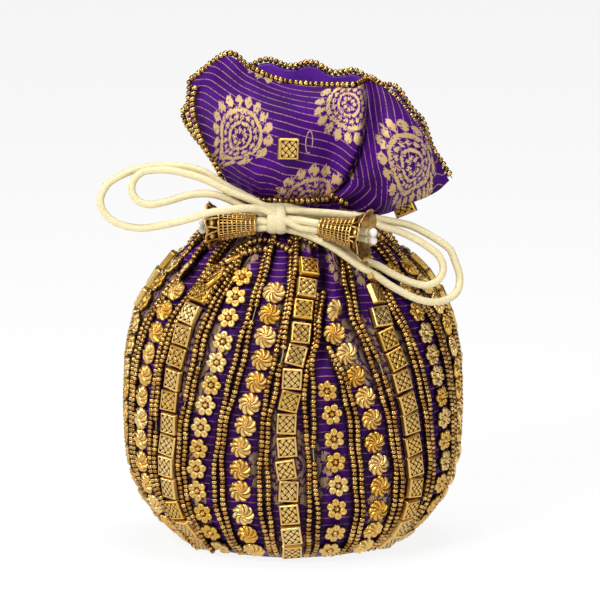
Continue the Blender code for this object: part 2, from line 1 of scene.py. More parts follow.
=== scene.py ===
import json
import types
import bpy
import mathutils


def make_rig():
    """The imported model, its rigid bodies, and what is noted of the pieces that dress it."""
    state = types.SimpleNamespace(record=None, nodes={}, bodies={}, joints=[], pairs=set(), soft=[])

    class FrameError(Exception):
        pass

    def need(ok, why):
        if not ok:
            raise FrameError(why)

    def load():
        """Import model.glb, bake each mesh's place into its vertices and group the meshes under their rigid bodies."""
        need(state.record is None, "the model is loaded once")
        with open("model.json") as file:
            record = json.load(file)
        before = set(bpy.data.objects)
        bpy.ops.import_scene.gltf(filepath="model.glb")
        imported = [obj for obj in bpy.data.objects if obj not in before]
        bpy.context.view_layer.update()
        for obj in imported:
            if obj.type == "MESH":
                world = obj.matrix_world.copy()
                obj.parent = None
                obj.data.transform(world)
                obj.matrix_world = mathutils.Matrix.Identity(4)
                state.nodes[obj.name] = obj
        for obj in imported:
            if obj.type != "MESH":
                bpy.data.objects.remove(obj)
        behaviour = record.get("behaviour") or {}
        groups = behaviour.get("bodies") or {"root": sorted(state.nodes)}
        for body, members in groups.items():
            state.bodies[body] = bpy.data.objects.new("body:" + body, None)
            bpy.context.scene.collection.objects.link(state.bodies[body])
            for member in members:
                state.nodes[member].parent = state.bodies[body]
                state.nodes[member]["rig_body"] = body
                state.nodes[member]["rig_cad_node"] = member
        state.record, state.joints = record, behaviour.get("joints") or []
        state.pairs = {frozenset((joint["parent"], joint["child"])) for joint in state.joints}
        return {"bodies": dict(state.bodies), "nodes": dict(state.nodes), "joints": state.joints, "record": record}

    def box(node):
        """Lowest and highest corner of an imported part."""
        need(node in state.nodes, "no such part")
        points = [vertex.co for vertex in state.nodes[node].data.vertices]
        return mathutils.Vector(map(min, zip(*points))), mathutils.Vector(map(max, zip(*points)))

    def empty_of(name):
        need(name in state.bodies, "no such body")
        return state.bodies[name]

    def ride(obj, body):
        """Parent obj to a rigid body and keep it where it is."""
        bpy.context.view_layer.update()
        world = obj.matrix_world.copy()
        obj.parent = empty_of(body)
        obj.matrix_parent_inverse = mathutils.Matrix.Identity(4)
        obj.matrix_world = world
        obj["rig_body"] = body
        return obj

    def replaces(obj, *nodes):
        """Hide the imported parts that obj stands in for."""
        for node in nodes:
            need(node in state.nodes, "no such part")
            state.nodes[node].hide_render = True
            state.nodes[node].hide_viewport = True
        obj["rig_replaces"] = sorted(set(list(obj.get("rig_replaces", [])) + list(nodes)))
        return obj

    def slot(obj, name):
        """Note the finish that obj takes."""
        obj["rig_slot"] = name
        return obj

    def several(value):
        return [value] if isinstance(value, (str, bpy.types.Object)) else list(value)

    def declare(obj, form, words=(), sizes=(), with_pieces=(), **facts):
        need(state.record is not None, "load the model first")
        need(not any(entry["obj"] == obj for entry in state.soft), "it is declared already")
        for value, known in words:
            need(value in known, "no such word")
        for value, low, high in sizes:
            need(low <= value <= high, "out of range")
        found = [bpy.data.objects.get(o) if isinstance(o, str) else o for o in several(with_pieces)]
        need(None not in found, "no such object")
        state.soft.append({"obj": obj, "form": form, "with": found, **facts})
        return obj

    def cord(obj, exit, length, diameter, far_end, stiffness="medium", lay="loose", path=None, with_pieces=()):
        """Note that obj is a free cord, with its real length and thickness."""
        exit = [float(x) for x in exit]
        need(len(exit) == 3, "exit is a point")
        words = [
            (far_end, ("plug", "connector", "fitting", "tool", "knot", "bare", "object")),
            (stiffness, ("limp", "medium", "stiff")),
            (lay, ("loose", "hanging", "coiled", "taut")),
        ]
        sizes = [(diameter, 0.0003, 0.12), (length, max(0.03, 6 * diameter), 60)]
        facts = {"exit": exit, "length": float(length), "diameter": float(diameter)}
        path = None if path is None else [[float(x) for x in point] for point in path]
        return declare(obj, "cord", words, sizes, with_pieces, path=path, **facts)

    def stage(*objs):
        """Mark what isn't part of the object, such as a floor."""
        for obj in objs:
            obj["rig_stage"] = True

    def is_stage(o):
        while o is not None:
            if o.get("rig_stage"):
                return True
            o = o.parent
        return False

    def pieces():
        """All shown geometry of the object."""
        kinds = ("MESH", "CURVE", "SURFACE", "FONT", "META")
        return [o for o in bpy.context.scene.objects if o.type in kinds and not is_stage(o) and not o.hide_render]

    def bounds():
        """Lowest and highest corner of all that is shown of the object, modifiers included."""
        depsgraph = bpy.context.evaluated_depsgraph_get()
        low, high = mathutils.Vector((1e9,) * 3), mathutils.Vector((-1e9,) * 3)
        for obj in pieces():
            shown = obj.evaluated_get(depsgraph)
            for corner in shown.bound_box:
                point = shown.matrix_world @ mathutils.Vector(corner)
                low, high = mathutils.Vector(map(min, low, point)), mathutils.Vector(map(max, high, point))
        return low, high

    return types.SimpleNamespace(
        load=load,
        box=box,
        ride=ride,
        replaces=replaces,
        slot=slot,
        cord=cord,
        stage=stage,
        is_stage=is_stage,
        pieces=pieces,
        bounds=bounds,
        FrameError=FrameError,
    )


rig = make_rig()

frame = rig.load()
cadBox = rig.bounds()

import json
import math
import random
from functools import partial

import bmesh
import bpy
import numpy as np
from mathutils import Vector

mm = 0.001
fullTurn = 2 * math.pi
kinds = {                     # short names of node kinds with their settings
    "range": ("MapRange", {}),
    "smooth": ("MapRange", {"interpolation_type": "SMOOTHSTEP"}),
    "colour": ("Mix", {"data_type": "RGBA"}),
    "random": ("FunctionNodeRandomValue", {"data_type": "FLOAT"}),
    "align": ("FunctionNodeAlignRotationToVector", {}),
}


def linearColour(hexCode):
    parts = [int(hexCode[i:i + 2], 16) / 255 for i in (1, 3, 5)]
    return tuple(p / 12.92 if p <= 0.04045 else ((p + 0.055) / 1.055) ** 2.4 for p in parts) + (1.0,)


# A kind in capitals is an operation of the maths node. Values fill the node's open inputs in order and inputs
# go by name: a socket is linked and a hex colour made linear. What comes back is one output, or else the node.
def addNode(tree, kind, *values, inputs=None, output=0, **settings):
    if kind.isupper():
        kind, settings["operation"] = "Math", kind
    kind, preset = kinds.get(kind, (kind, {}))
    node = tree.nodes.new(kind if "Node" in kind else "ShaderNode" + kind)
    for name, value in {**preset, **settings}.items():
        setattr(node, name, value)
    pairs = list(zip([socket for socket in node.inputs if socket.enabled], values))
    pairs += [(node.inputs[name], value) for name, value in (inputs or {}).items()]
    for socket, value in pairs:
        if isinstance(value, bpy.types.NodeSocket):
            tree.links.new(value, socket)
        elif value is not None:
            socket.default_value = linearColour(value) if str(value).startswith("#") else value
    if isinstance(output, str):
        return node.outputs[output]
    ways = [socket for socket in node.outputs if socket.enabled]
    return ways[output] if ways else node


def unit(vector):
    vector = np.asarray(vector, float)
    return vector / max(float(np.linalg.norm(vector)), 1e-9)


# the part of a direction that stands square to another
def squareTo(vector, way):
    return unit(vector - way * float(vector @ way))


# a number brought into the middle round of a count of rows or columns
def wrapped(value, count):
    return (value + count // 2) % count - count // 2


def ramp(value, low, high):
    t = min(max((value - low) / (high - low), 0.0), 1.0)
    return t * t * (3 - 2 * t)


def bump(value):
    return np.exp(-value ** 2)


def catmull(a, b, c, d, t):
    return 0.5 * (2 * b + (c - a) * t + (2 * a - 5 * b + 4 * c - d) * t ** 2 + (3 * b - a - 3 * c + d) * t ** 3)


# a curve through places, read at fractional numbers of them
def throughPlaces(points, numbers):
    knots = np.array(points, float)
    ends = np.vstack([2 * knots[0] - knots[1], knots, 2 * knots[-1] - knots[-2]])
    starts = [min(int(s), len(knots) - 2) for s in numbers]
    return np.array([catmull(*ends[i:i + 4], s - i) for i, s in zip(starts, numbers)])


def runLengths(line):
    return np.concatenate([[0], np.cumsum(np.linalg.norm(np.diff(line, axis=0), axis=1))])


def readAt(s, lengths, *tables):
    return [np.array([np.interp(s, lengths, table[:, n]) for n in range(3)]) for table in tables]


def evenLine(line, count):
    lengths = runLengths(line)
    return readAt(np.linspace(0, lengths[-1], count), lengths, line)[0].T


def smoothLine(points, count):
    spans = len(points) - 1
    return evenLine(throughPlaces(points, np.append(np.arange(0, spans, 0.05), spans)), count)


# the faces of a net of points, which may be closed across its rows and up its columns
def gridFaces(start, rows, count, closedAcross, closedUp):
    return [[start + i * count + j, start + i * count + (j + 1) % count,
             start + (i + 1) % rows * count + (j + 1) % count, start + (i + 1) % rows * count + j]
            for i in range(rows if closedUp else rows - 1) for j in range(count if closedAcross else count - 1)]


def addObject(name, data):
    found = bpy.data.objects.new(name, data)
    bpy.context.scene.collection.objects.link(found)
    return found


# a mesh in millimetres becomes one piece at the origin; uv and values are given per point
def meshPiece(name, points, faces, materials, uv=None, slots=None, values=None, linked=True):
    mesh = bpy.data.meshes.new(name)
    mesh.from_pydata((np.asarray(points) * mm).tolist(), [], [list(map(int, f)) for f in faces])
    if uv is not None:
        index = np.empty(len(mesh.loops), dtype=np.int32)
        mesh.loops.foreach_get("vertex_index", index)
        mesh.uv_layers.new(name="clothMap").data.foreach_set("uv", np.asarray(uv, np.float32)[index].reshape(-1))
    for label, data in (values or {}).items():
        mesh.attributes.new(label, "FLOAT", "POINT").data.foreach_set("value", np.asarray(data, np.float32))
    for material in materials:
        mesh.materials.append(material)
    if slots is not None:
        mesh.polygons.foreach_set("material_index", np.asarray(slots, np.int32))
    mesh.polygons.foreach_set("use_smooth", [True] * len(mesh.polygons))
    mesh.update()
    return addObject(name, mesh) if linked else bpy.data.objects.new(name, mesh)


# closes what touches and turns every face outwards
def closeMesh(mesh, merge=1e-7):
    work = bmesh.new()
    work.from_mesh(mesh)
    bmesh.ops.remove_doubles(work, verts=work.verts, dist=merge)
    bmesh.ops.recalc_face_normals(work, faces=work.faces)
    work.to_mesh(mesh)
    work.free()


# hands a finished piece over with its body, its slot and the solids it stands for
def handOver(piece, body, slot, *nodes):
    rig.ride(piece, body)
    if nodes:
        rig.replaces(piece, *nodes)
    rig.slot(piece, slot)
    return piece


camera = {
    "lens": 330.0,            # mm, so long that the view is nearly flat as in the photo
    "distance": 2.5,          # m
    "elevation": 10.0,        # degrees
    "aim": (0.0032, 0.0, 0.1105),
}


# the turn that points a camera or lamp at a place
def turnTo(place, aim):
    return (Vector(aim) - Vector(place)).to_track_quat("-Z", "Y").to_euler()


def buildCamera():
    tilt = math.radians(camera["elevation"])
    data = bpy.data.cameras.new("studioCamera")
    data.lens, data.sensor_width, data.clip_end = camera["lens"], 36.0, 50.0
    eye = addObject("studioCamera", data)
    eye.location = Vector(camera["aim"]) + camera["distance"] * Vector((0, -math.cos(tilt), math.sin(tilt)))
    eye.rotation_euler = turnTo(eye.location, camera["aim"])
    bpy.context.scene.camera = eye
    print("camera placed")


# a material whose nodes are added by its own paint function
def makeMaterial(name, paint, *choices):
    material = bpy.data.materials.new(name)
    material.use_nodes = True
    material.node_tree.nodes.clear()
    node = partial(addNode, material.node_tree)
    node("OutputMaterial", paint(node, *choices))
    return material


brocade = {
    "violet": "#42086E",
    "violetLight": "#6E1AA2",
    "violetDeep": "#1E0338",
    # gather: painted shade, the near-black laid into the gather valleys under the seed strands
    "gather": "#160610",
    "zari": "#DAB888",
    "zariDark": "#8C6A42",
    "stripe": "#B4897C",
    "cell": 57.0,             # mm between paisleys across the cloth
    "rise": 60.0,             # mm between paisleys up the cloth
    "drop": 0.34,             # share of the rise that every other column is lower
    "stripeGap": 3.6,         # mm between the thin stripes
    "threadPitch": 0.5,       # mm, drawn about twice as coarse as real silk so that it shows
    "raggedEnds": 1.5,        # mm that a gold thread runs past its neighbour
    "rings": (                # middle and half width of each gold band in mm, and its teeth
        (16.9, 2.9, 9.0), (12.3, 1.15, 0.0), (9.2, 1.15, 8.0), (6.3, 0.8, 0.0), (3.1, 1.3, 4.0),
    ),
}


# Violet silk brocade: dense and dark with a low silky gloss, its tan gold paisleys woven in with ragged
# thread ends, and thin dull stripes
def paintBrocade(node):
    uv = node("UVMap", uv_map="clothMap")
    across = node("SeparateXYZ", uv, output="X")
    up = across.node.outputs["Y"]

    # each warp thread starts and stops its gold a little higher or lower than the next
    thread = node("FLOOR", node("DIVIDE", across, brocade["threadPitch"]))
    patch, spot = [node("FLOOR", node("DIVIDE", up, size)) for size in (5.0, 1.3)]
    jitter, loose = [node("TexWhiteNoise", node("CombineXYZ", thread, place), noise_dimensions="2D")
                     for place in (patch, spot)]
    ragged = node("MULTIPLY_ADD", jitter, brocade["raggedEnds"], up)

    # every other column faces the other way and is lower, and every other row is upside down
    cellX = node("MULTIPLY_ADD", across, 1 / brocade["cell"], 10.5)
    odd = node("MODULO", node("FLOOR", cellX), 2.0)
    cellY = node("MULTIPLY_ADD", ragged, 1 / brocade["rise"], node("MULTIPLY_ADD", odd, brocade["drop"], 10.5))
    flip = node("MODULO", node("FLOOR", cellY), 2.0)
    x = node("MULTIPLY", node("SUBTRACT", node("FRACT", cellX), 0.5),
             node("MULTIPLY_ADD", odd, -2 * brocade["cell"], brocade["cell"]))
    y = node("MULTIPLY", node("SUBTRACT", node("FRACT", cellY), 0.5),
             node("MULTIPLY_ADD", flip, 2 * brocade["rise"], -brocade["rise"]))

    # a paisley is a disc whose upper part narrows and bends over to one side
    lift = node("MAXIMUM", node("ADD", y, 2.0), 0.0)
    bend = node("MULTIPLY_ADD", node("POWER", lift, 2.0), 0.022, -1.5)
    narrow = node("MAXIMUM", node("MULTIPLY_ADD", lift, -0.026, 1.0), 0.12)
    px = node("DIVIDE", node("ADD", x, bend), narrow)
    py = node("MULTIPLY", node("ADD", y, 3.9), node("MULTIPLY_ADD", lift, -0.011, 1.0))
    radius = node("VectorMath", node("CombineXYZ", px, py), operation="LENGTH", output="Value")
    turn = node("ARCTAN2", py, px)

    motif = 0.0
    for middle, half, teeth in brocade["rings"]:
        away = node("ABSOLUTE", node("SUBTRACT", radius, middle))
        if teeth:
            wave = node("ABSOLUTE", node("SINE", node("MULTIPLY", turn, teeth)))
            away = node("ADD", away, node("MULTIPLY_ADD", wave, -1.25 * half, 1.25 * half))
        motif = node("MAXIMUM", node("smooth", away, half - 0.22, half + 0.22, 1.0, 0.0), motif)
    # a few gold threads are broken or float apart
    motif = node("MULTIPLY", motif, node("range", loose, 0.06, 0.12))

    # thin weft stripes of dull copper thread, worn through in places
    wave = node("ABSOLUTE", node("SUBTRACT", node("FRACT", node("DIVIDE", up, brocade["stripeGap"])), 0.5))
    dash = node("TexNoise", uv, inputs={"Scale": 0.9, "Detail": 1.0})
    line = node("MULTIPLY", node("smooth", wave, 0.03, 0.075, 0.8, 0.0), node("range", dash, 0.30, 0.5))

    # plain weave: the warp and weft ribs
    warp, weft = [node("SINE", node("MULTIPLY", way, fullTurn / brocade["threadPitch"] * share))
                  for way, share in ((across, 1.0), (up, 0.8))]
    weave = node("MULTIPLY", warp, weft)
    cloud = node("TexNoise", uv, inputs={"Scale": 0.06, "Detail": 3.0})
    ground = node("colour", node("range", cloud, 0.35, 0.7), brocade["violetDeep"], brocade["violet"])
    ground = node("colour", node("MULTIPLY_ADD", weave, 0.10, 0.16), ground, brocade["violetLight"])
    gold = node("colour", node("MULTIPLY_ADD", weft, 0.3, 0.3), brocade["zari"], brocade["zariDark"])
    colour = node("colour", motif, node("colour", line, ground, brocade["stripe"]), gold)
    # painted shade: under the seed bead strands the gathers are darkened nearly to black by the open value, standing
    # in for the shadow there
    lit = node("Attribute", attribute_name="open", output="Fac")
    colour = node("colour", node("range", lit, 0.0, 1.0, 0.12, 1.0), brocade["gather"], colour)
    height = node("MULTIPLY_ADD", motif, 1.4, node("MULTIPLY_ADD", weave, 0.35, line))
    return node("BsdfPrincipled", inputs={
        "Base Color": colour, "Metallic": node("MULTIPLY", motif, 0.3),
        "Roughness": node("MULTIPLY_ADD", motif, -0.1, 0.52), "Specular IOR Level": 0.07,
        "Normal": node("Bump", inputs={"Height": height, "Strength": 0.35, "Distance": 0.00012})})


# Plain violet satin lining: smoother than the brocade, with a faint diagonal twill
def paintLining(node):
    uv = node("UVMap", uv_map="clothMap")
    across = node("SeparateXYZ", uv, output="X")
    twill = node("SINE", node("MULTIPLY", node("ADD", across, across.node.outputs["Y"]), fullTurn / 0.6))
    cloud = node("TexNoise", uv, inputs={"Scale": 0.08, "Detail": 3.0})
    return node("BsdfPrincipled", inputs={
        "Base Color": node("colour", node("MULTIPLY_ADD", twill, 0.1, cloud), "#4A1288", "#863EC8"),
        "Roughness": 0.45, "Specular IOR Level": 0.35,
        "Normal": node("Bump", inputs={"Height": twill, "Strength": 0.15, "Distance": 0.0001})})


# a piece's own values, and a grain in its own space
def surfaceOf(node, scale, detail, *names):
    grain = node("TexNoise", node("TexCoord", output="Object"), inputs={"Scale": scale, "Detail": detail})
    return [grain] + [node("Attribute", attribute_name=name, output="Fac") for name in names]


castGold = {
    "gold": "#DCAA4A",
    "pale": "#F5DA9C",
    "shade": "#2C1402",
    "weaveBands": 3.0,        # diagonal bands across a square bead
}


# Antique gold plated cast beads: warm gold on the high spots, brown patina left in the recesses
def paintCastGold(node, weave):
    grain, tone, patina = surfaceOf(node, 900.0, 3.0, "tone", "high")
    height = node("MULTIPLY", grain, 0.08)
    if weave:
        # the beads' woven knot sharpened: bands pass over and under each other inside a raised border
        u = node("SeparateXYZ", node("UVMap", uv_map="clothMap"), output="X")
        v = u.node.outputs["Y"]
        slants = [node("MULTIPLY_ADD", node(way, u, v), castGold["weaveBands"] / 2, 8.0)
                  for way in ("ADD", "SUBTRACT")]
        parity = node("MODULO", node("ADD", *[node("FLOOR", slant) for slant in slants]), 2.0)
        edges = [node("ABSOLUTE", node("SUBTRACT", node("FRACT", slant), 0.5)) for slant in slants]
        bands = node("smooth", node("Mix", parity, edges[1], edges[0]), 0.26, 0.40, 1.0, 0.0)
        inside = node("MAXIMUM", node("ABSOLUTE", u), node("ABSOLUTE", v))
        relief = node("MAXIMUM", node("MULTIPLY", bands, node("range", inside, 0.72, 0.76, 1.0, 0.0)),
                      node("range", inside, 0.77, 0.82))
        patina = node("MULTIPLY", patina, node("MULTIPLY_ADD", relief, 0.85, 0.15))
        height = node("MULTIPLY_ADD", relief, 2.0, height)
    worn = node("MULTIPLY_ADD", node("SUBTRACT", grain, 0.5), 0.35, patina)
    colour = node("colour", node("MULTIPLY", tone, 0.6), castGold["gold"], castGold["pale"])
    return node("BsdfPrincipled", inputs={
        "Base Color": node("colour", node("smooth", worn, 0.15, 0.72), castGold["shade"], colour),
        "Metallic": 1.0, "Roughness": node("MULTIPLY_ADD", worn, -0.14, 0.48),
        "Normal": node("Bump", inputs={"Height": height, "Strength": 0.4, "Distance": 0.0002})})


seedLook = {"bronze": "#8C6029", "pale": "#DCB26A", "hole": "#1A0C02"}


# Bronze metallic glass seed beads: glossy and rounded, with painted shade, near black, in the holes and on the ends
# where two beads meet
def paintSeed(node):
    grain, tone, high = surfaceOf(node, 1500.0, 2.0, "tone", "high")
    share = node("MULTIPLY_ADD", node("SUBTRACT", grain, 0.5), 0.4, tone)
    colour = node("colour", share, seedLook["bronze"], seedLook["pale"])
    return node("BsdfPrincipled", inputs={
        # painted shade: where the high value is low, in the holes and on the bead ends, the colour goes near black
        "Base Color": node("colour", node("smooth", high, 0.36, 0.85), seedLook["hole"], colour),
        "Metallic": 0.95, "Roughness": node("MULTIPLY_ADD", grain, 0.1, 0.22)})


cordLook = {
    "cream": "#EEE5BC",
    "shade": "#BCA264",
    "layPitch": 9.0,          # mm along the cord for one turn of its twist
    "ribs": 9,                # ribs of the twist round the cord
}


# Cream satin rat-tail cord: smooth, with a faint slanting grain of fibres, painted light and shade along the ribs of
# its twist, and a soft gloss
def paintCord(node):
    around = node("SeparateXYZ", node("UVMap", uv_map="clothMap"), output="X")
    along = around.node.outputs["Y"]
    lay = node("MULTIPLY_ADD", along, 1 / cordLook["layPitch"], around)
    rib = node("SINE", node("MULTIPLY", lay, fullTurn * cordLook["ribs"]))
    fibreAt = node("CombineXYZ", node("MULTIPLY", lay, 42.0), node("MULTIPLY", along, 0.35))
    fibre = node("TexNoise", fibreAt, inputs={"Scale": 1.0, "Detail": 3.0})
    # painted light and shade: the twist's ribs are lighter on their crests and darker in their grooves, over the
    # fibres' own grain
    share = node("MULTIPLY_ADD", rib, 0.16, node("range", fibre, 0.3, 0.7, 0.25, 1.0))
    height = node("MULTIPLY_ADD", rib, 0.3, fibre)
    return node("BsdfPrincipled", inputs={
        "Base Color": node("colour", share, cordLook["shade"], cordLook["cream"]),
        "Roughness": 0.42, "Sheen Weight": 0.15, "Sheen Roughness": 0.35,
        "Normal": node("Bump", inputs={"Height": height, "Strength": 0.4, "Distance": 0.0001})})


# Pale cotton beading thread: matt, with a fine twist
def paintThread(node):
    grain = surfaceOf(node, 2500.0, 2.0)[0]
    colour = node("colour", grain, "#7A5A34", "#D6BC90")
    return node("BsdfPrincipled", inputs={"Base Color": colour, "Roughness": 0.7})


# Antique brass filigree: burnished wires over brown-black recesses
def paintFiligree(node):
    grain, high = surfaceOf(node, 700.0, 4.0, "high")
    worn = node("MULTIPLY_ADD", node("SUBTRACT", grain, 0.5), 0.6, high)
    return node("BsdfPrincipled", inputs={
        "Base Color": node("colour", node("smooth", worn, 0.1, 0.75), "#2C1604", "#E0B468"),
        "Metallic": 1.0, "Roughness": node("MULTIPLY_ADD", worn, -0.15, 0.44),
        "Normal": node("Bump", inputs={"Height": grain, "Strength": 0.3, "Distance": 0.00015})})


# White imitation pearl: milky plastic under a thin glossy lacquer
def paintPearl(node):
    cloud = surfaceOf(node, 300.0, 2.0)[0]
    return node("BsdfPrincipled", inputs={
        "Base Color": node("colour", cloud, "#DDD5C8", "#F0EAE2"),
        "Roughness": 0.22, "Coat Weight": 0.6, "Subsurface Weight": 0.15,
        "Subsurface Radius": (0.002, 0.0015, 0.001), "Subsurface Scale": 0.5})


violetBrocade = makeMaterial("violetBrocade", paintBrocade)
violetLining = makeMaterial("violetLining", paintLining)
goldPlain = makeMaterial("castGold", paintCastGold, False)
goldWoven = makeMaterial("castGoldWoven", paintCastGold, True)
bronzeSeed = makeMaterial("bronzeSeedGlass", paintSeed)
satinCord = makeMaterial("creamSatinCord", paintCord)
beadThread = makeMaterial("beadingThread", paintThread)
filigreeBrass = makeMaterial("antiqueFiligree", paintFiligree)
whitePearl = makeMaterial("whitePearl", paintPearl)
print("materials made")


# The cloth's form: the same sizes as the frame's shell, in millimetres
pouch = {
    "profile": [
        (41.6, 0.0), (53.8, 7.0), (63.1, 17.0), (69.6, 27.0), (73.6, 41.0), (74.6, 64.0),
        (73.6, 87.0), (69.6, 106.0), (62.6, 119.0), (52.0, 131.0), (45.0, 138.0),
        (39.0, 142.0), (27.0, 151.0), (25.5, 154.0), (28.0, 157.0),
    ],
    "baseRatio": 1.0,         # depth over width at the base, belly and neck
    "bellyRatio": 0.83,
    "neckRatio": 0.74,
    "gather": 4.0,
    "pleat": 8.0,
    "puff": 0.8,              # how far the cloth swells between two strands
    "wall": 1.3,
    "topRing": 157.0,
    "strandStart": 4.0,       # height of the lowest beads
    "acrossPerColumn": 10.6,  # mm of flat cloth between a bead row and the seed strands beside it
}
angleLevels = [10.0, 30.0, 50.0, 70.0, 90.0, 110.0, 125.0, 138.0]
rowAngles = {
    -5: [-83.0, -82.0, -81.0, -80.0, -78.5, -76.0, -73.0, -71.0],
    -4: [-66.0, -65.5, -65.0, -63.5, -60.5, -57.0, -54.5, -53.0],
    -3: [-51.0, -50.0, -47.5, -46.5, -44.5, -42.0, -39.5, -38.0],
    -2: [-36.5, -35.5, -34.0, -31.0, -27.0, -24.5, -23.0, -22.0],
    -1: [-18.5, -18.8, -18.0, -15.5, -11.5, -9.0, -7.5, -6.5],
    0: [-0.5, -1.5, -2.3, -2.0, 0.0, 3.0, 6.5, 9.0],
    1: [18.0, 16.0, 14.5, 13.0, 11.0, 9.6, 12.5, 16.0],
    2: [36.0, 32.5, 29.7, 27.0, 21.0, 14.0, 18.5, 23.0],
    3: [53.0, 49.0, 45.5, 43.0, 38.5, 34.5, 35.0, 36.0],
    4: [70.0, 66.5, 64.3, 61.5, 57.0, 53.5, 52.0, 52.0],
    5: [87.0, 84.0, 82.0, 80.0, 76.5, 72.5, 70.0, 69.0],
}
rowTops = {0: 135.0, 1: 86.0, 2: 119.0, -1: 126.0}
pairTops = {1: 121.0, 3: 100.0}
columns = 42
slitColumn = 11

frontFlap = [
    [(-32, -12, 172), (-26, -22, 171), (-17, -28, 170), (-6, -30, 169), (6, -28, 168.5),
     (18, -21, 168), (28, -26, 167), (37, -23, 164), (42, -11, 155)],
    [(-42, -8, 186), (-33, -26, 190), (-20, -34, 188), (-6, -36, 186), (8, -32, 184),
     (24, -19, 184), (38, -33, 184), (53, -31, 175), (56, -13, 158)],
    [(-46.5, -7, 199), (-36, -24, 210), (-22, -30, 206), (-7, -30, 202), (10, -25, 199),
     (26, -14, 199), (41, -26, 200), (60, -26, 186), (65, -13, 163)],
    [(-45.5, -6, 213), (-30, -16, 226), (-19, -18, 220), (-5, -14, 214), (12, -10, 211.5),
     (26, -7, 211), (40, -10, 212), (56, -14, 195), (70.5, -12, 169)],
]
backFlap = [
    [(-28, 6, 169), (-22, 18, 168), (-8, 25, 168), (6, 26, 168), (19, 22, 168), (29, 16, 167), (36, 10, 165),
     (39, 2, 161)],
    [(-40, 11, 181), (-28, 23, 184), (-10, 29, 186), (8, 29, 186), (25, 25, 184), (40, 21, 180), (49, 16, 173),
     (53, 8, 167)],
    [(-46, 10, 191), (-31, 22, 199), (-10, 27, 202), (8, 26, 202), (26, 23, 199), (42, 19, 195), (54, 16, 186),
     (59, 11, 175)],
    [(-49, 8, 200), (-30, 20, 214), (-10, 22, 218), (8, 20, 217), (25, 18, 214), (42, 16, 209), (55, 14, 198),
     (62, 12, 182)],
]


def plainAngle(row):
    theta = row * fullTurn / 21
    return math.degrees(theta - 0.045 * math.sin(2 * theta))


# degrees round the bag of a bead row at one height, spread evenly where no row is given
def rowAngle(row, height):
    row = wrapped(row, 21)
    if row in rowAngles:
        return float(np.interp(height, angleLevels, rowAngles[row]))
    back = 0 if row > 0 else 360
    first, last = rowAngle(5, height), rowAngle(-5, height) + 360
    share = (plainAngle(row) + back - plainAngle(5)) / (plainAngle(-5) + 360 - plainAngle(5))
    return first + share * (last - first) - back


# even columns are bead rows and odd ones the gathers between them
def columnAngle(column, height):
    column = wrapped(column, columns)
    if column % 2 == 0:
        return rowAngle(column // 2, height)
    left, right = rowAngle((column - 1) // 2, height), rowAngle((column + 1) // 2, height)
    middle = (left + right + (360 if right < left else 0)) / 2
    return middle + (1.4 * ramp(height, 88, 106) if column == 1 else 0)


def gatherDepth(column, height):
    column = wrapped(column, columns)
    pleat = pouch["pleat"] * ramp(height, 84, 108) * (1 - 0.55 * ramp(height, 128, 151))
    gather = pouch["gather"] * ramp(height, 95, 130) * (1 - 0.2 * ramp(height, 140, 151))
    return (gather if column % 2 else 0.0) + {2: pleat, 3: 0.45 * pleat, 1: 0.12 * pleat}.get(column, 0.0)


def depthRatio(height):
    lower = pouch["baseRatio"] + (pouch["bellyRatio"] - pouch["baseRatio"]) * ramp(height, 0, 45)
    share = ramp(height, 125, 151)
    return lower * (1 - share) + pouch["neckRatio"] * share


# the profile with its corners rounded over a few millimetres
def halfWidth(height):
    widths, levels = np.array(pouch["profile"]).T
    low, here, high = np.interp([height - 4.0, height, height + 4.0], levels, widths)
    return float((low + 2 * here + high) / 4 if 6.0 < height < 146.0 else here)


ringStore = {}


# Directions and inward gathers of the 42 columns at one height
def ringTable(height):
    key = round(height, 3)
    if key not in ringStore:
        turns = np.array([columnAngle(c, height) % 360 if c else columnAngle(0, height) for c in range(columns)])
        for i in range(1, columns):
            while turns[i] < turns[i - 1]:
                turns[i] += 360
        ringStore[key] = (turns - np.arange(columns) * 360 / columns,
                          np.array([gatherDepth(c, height) for c in range(columns)]))
    return ringStore[key]


# Places on the pouch at one height for any fractional columns
def ringPoints(columnValues, height, inset=0.0):
    drift, depths = ringTable(height)
    values = np.asarray(columnValues, float)
    low = np.floor(values).astype(int)
    t = values - low
    turn = catmull(*[drift[(low + n) % columns] for n in (-1, 0, 1, 2)], t) + values * 360 / columns
    eased = t * t * (3 - 2 * t)
    depth = depths[low % columns] * (1 - eased) + depths[(low + 1) % columns] * eased
    puff = pouch["puff"] * np.sin(np.pi * t) ** 2 * ramp(height, 3, 14) * (1 - ramp(height, 110, 128))
    crease = 0.45 * ramp(height, 118, 132) * np.sin(values * fullTurn * 1.5 + 2.2 * np.sin(values * 1.7))
    width = halfWidth(height)
    reach = 1 - (depth - puff - crease + inset) / width
    angle = np.radians(turn)
    return np.stack([width * reach * np.sin(angle), -width * depthRatio(height) * reach * np.cos(angle),
                     np.full(len(values), float(height))], axis=1)


# A smooth sheet through the neck ring and the flap's net, rows upwards
def flapGrid(net, columnValues, rows):
    before, ring = ringPoints(columnValues, 151.0), ringPoints(columnValues, pouch["topRing"])
    levels = [ring - 0.7 * (ring - before), ring]
    levels += [throughPlaces(row, np.linspace(0, len(row) - 1, len(columnValues))) for row in net]
    levels.append(2 * levels[-1] - levels[-2])
    steps = [(s, min(int(s), 3)) for s in np.linspace(0, 4, rows)]
    return np.array([catmull(*levels[i:i + 4], s - i) for s, i in steps])


def gridNormals(grid):
    normal = np.cross(np.gradient(grid, axis=1), np.gradient(grid, axis=0))
    return normal / np.maximum(np.linalg.norm(normal, axis=2, keepdims=True), 1e-9)


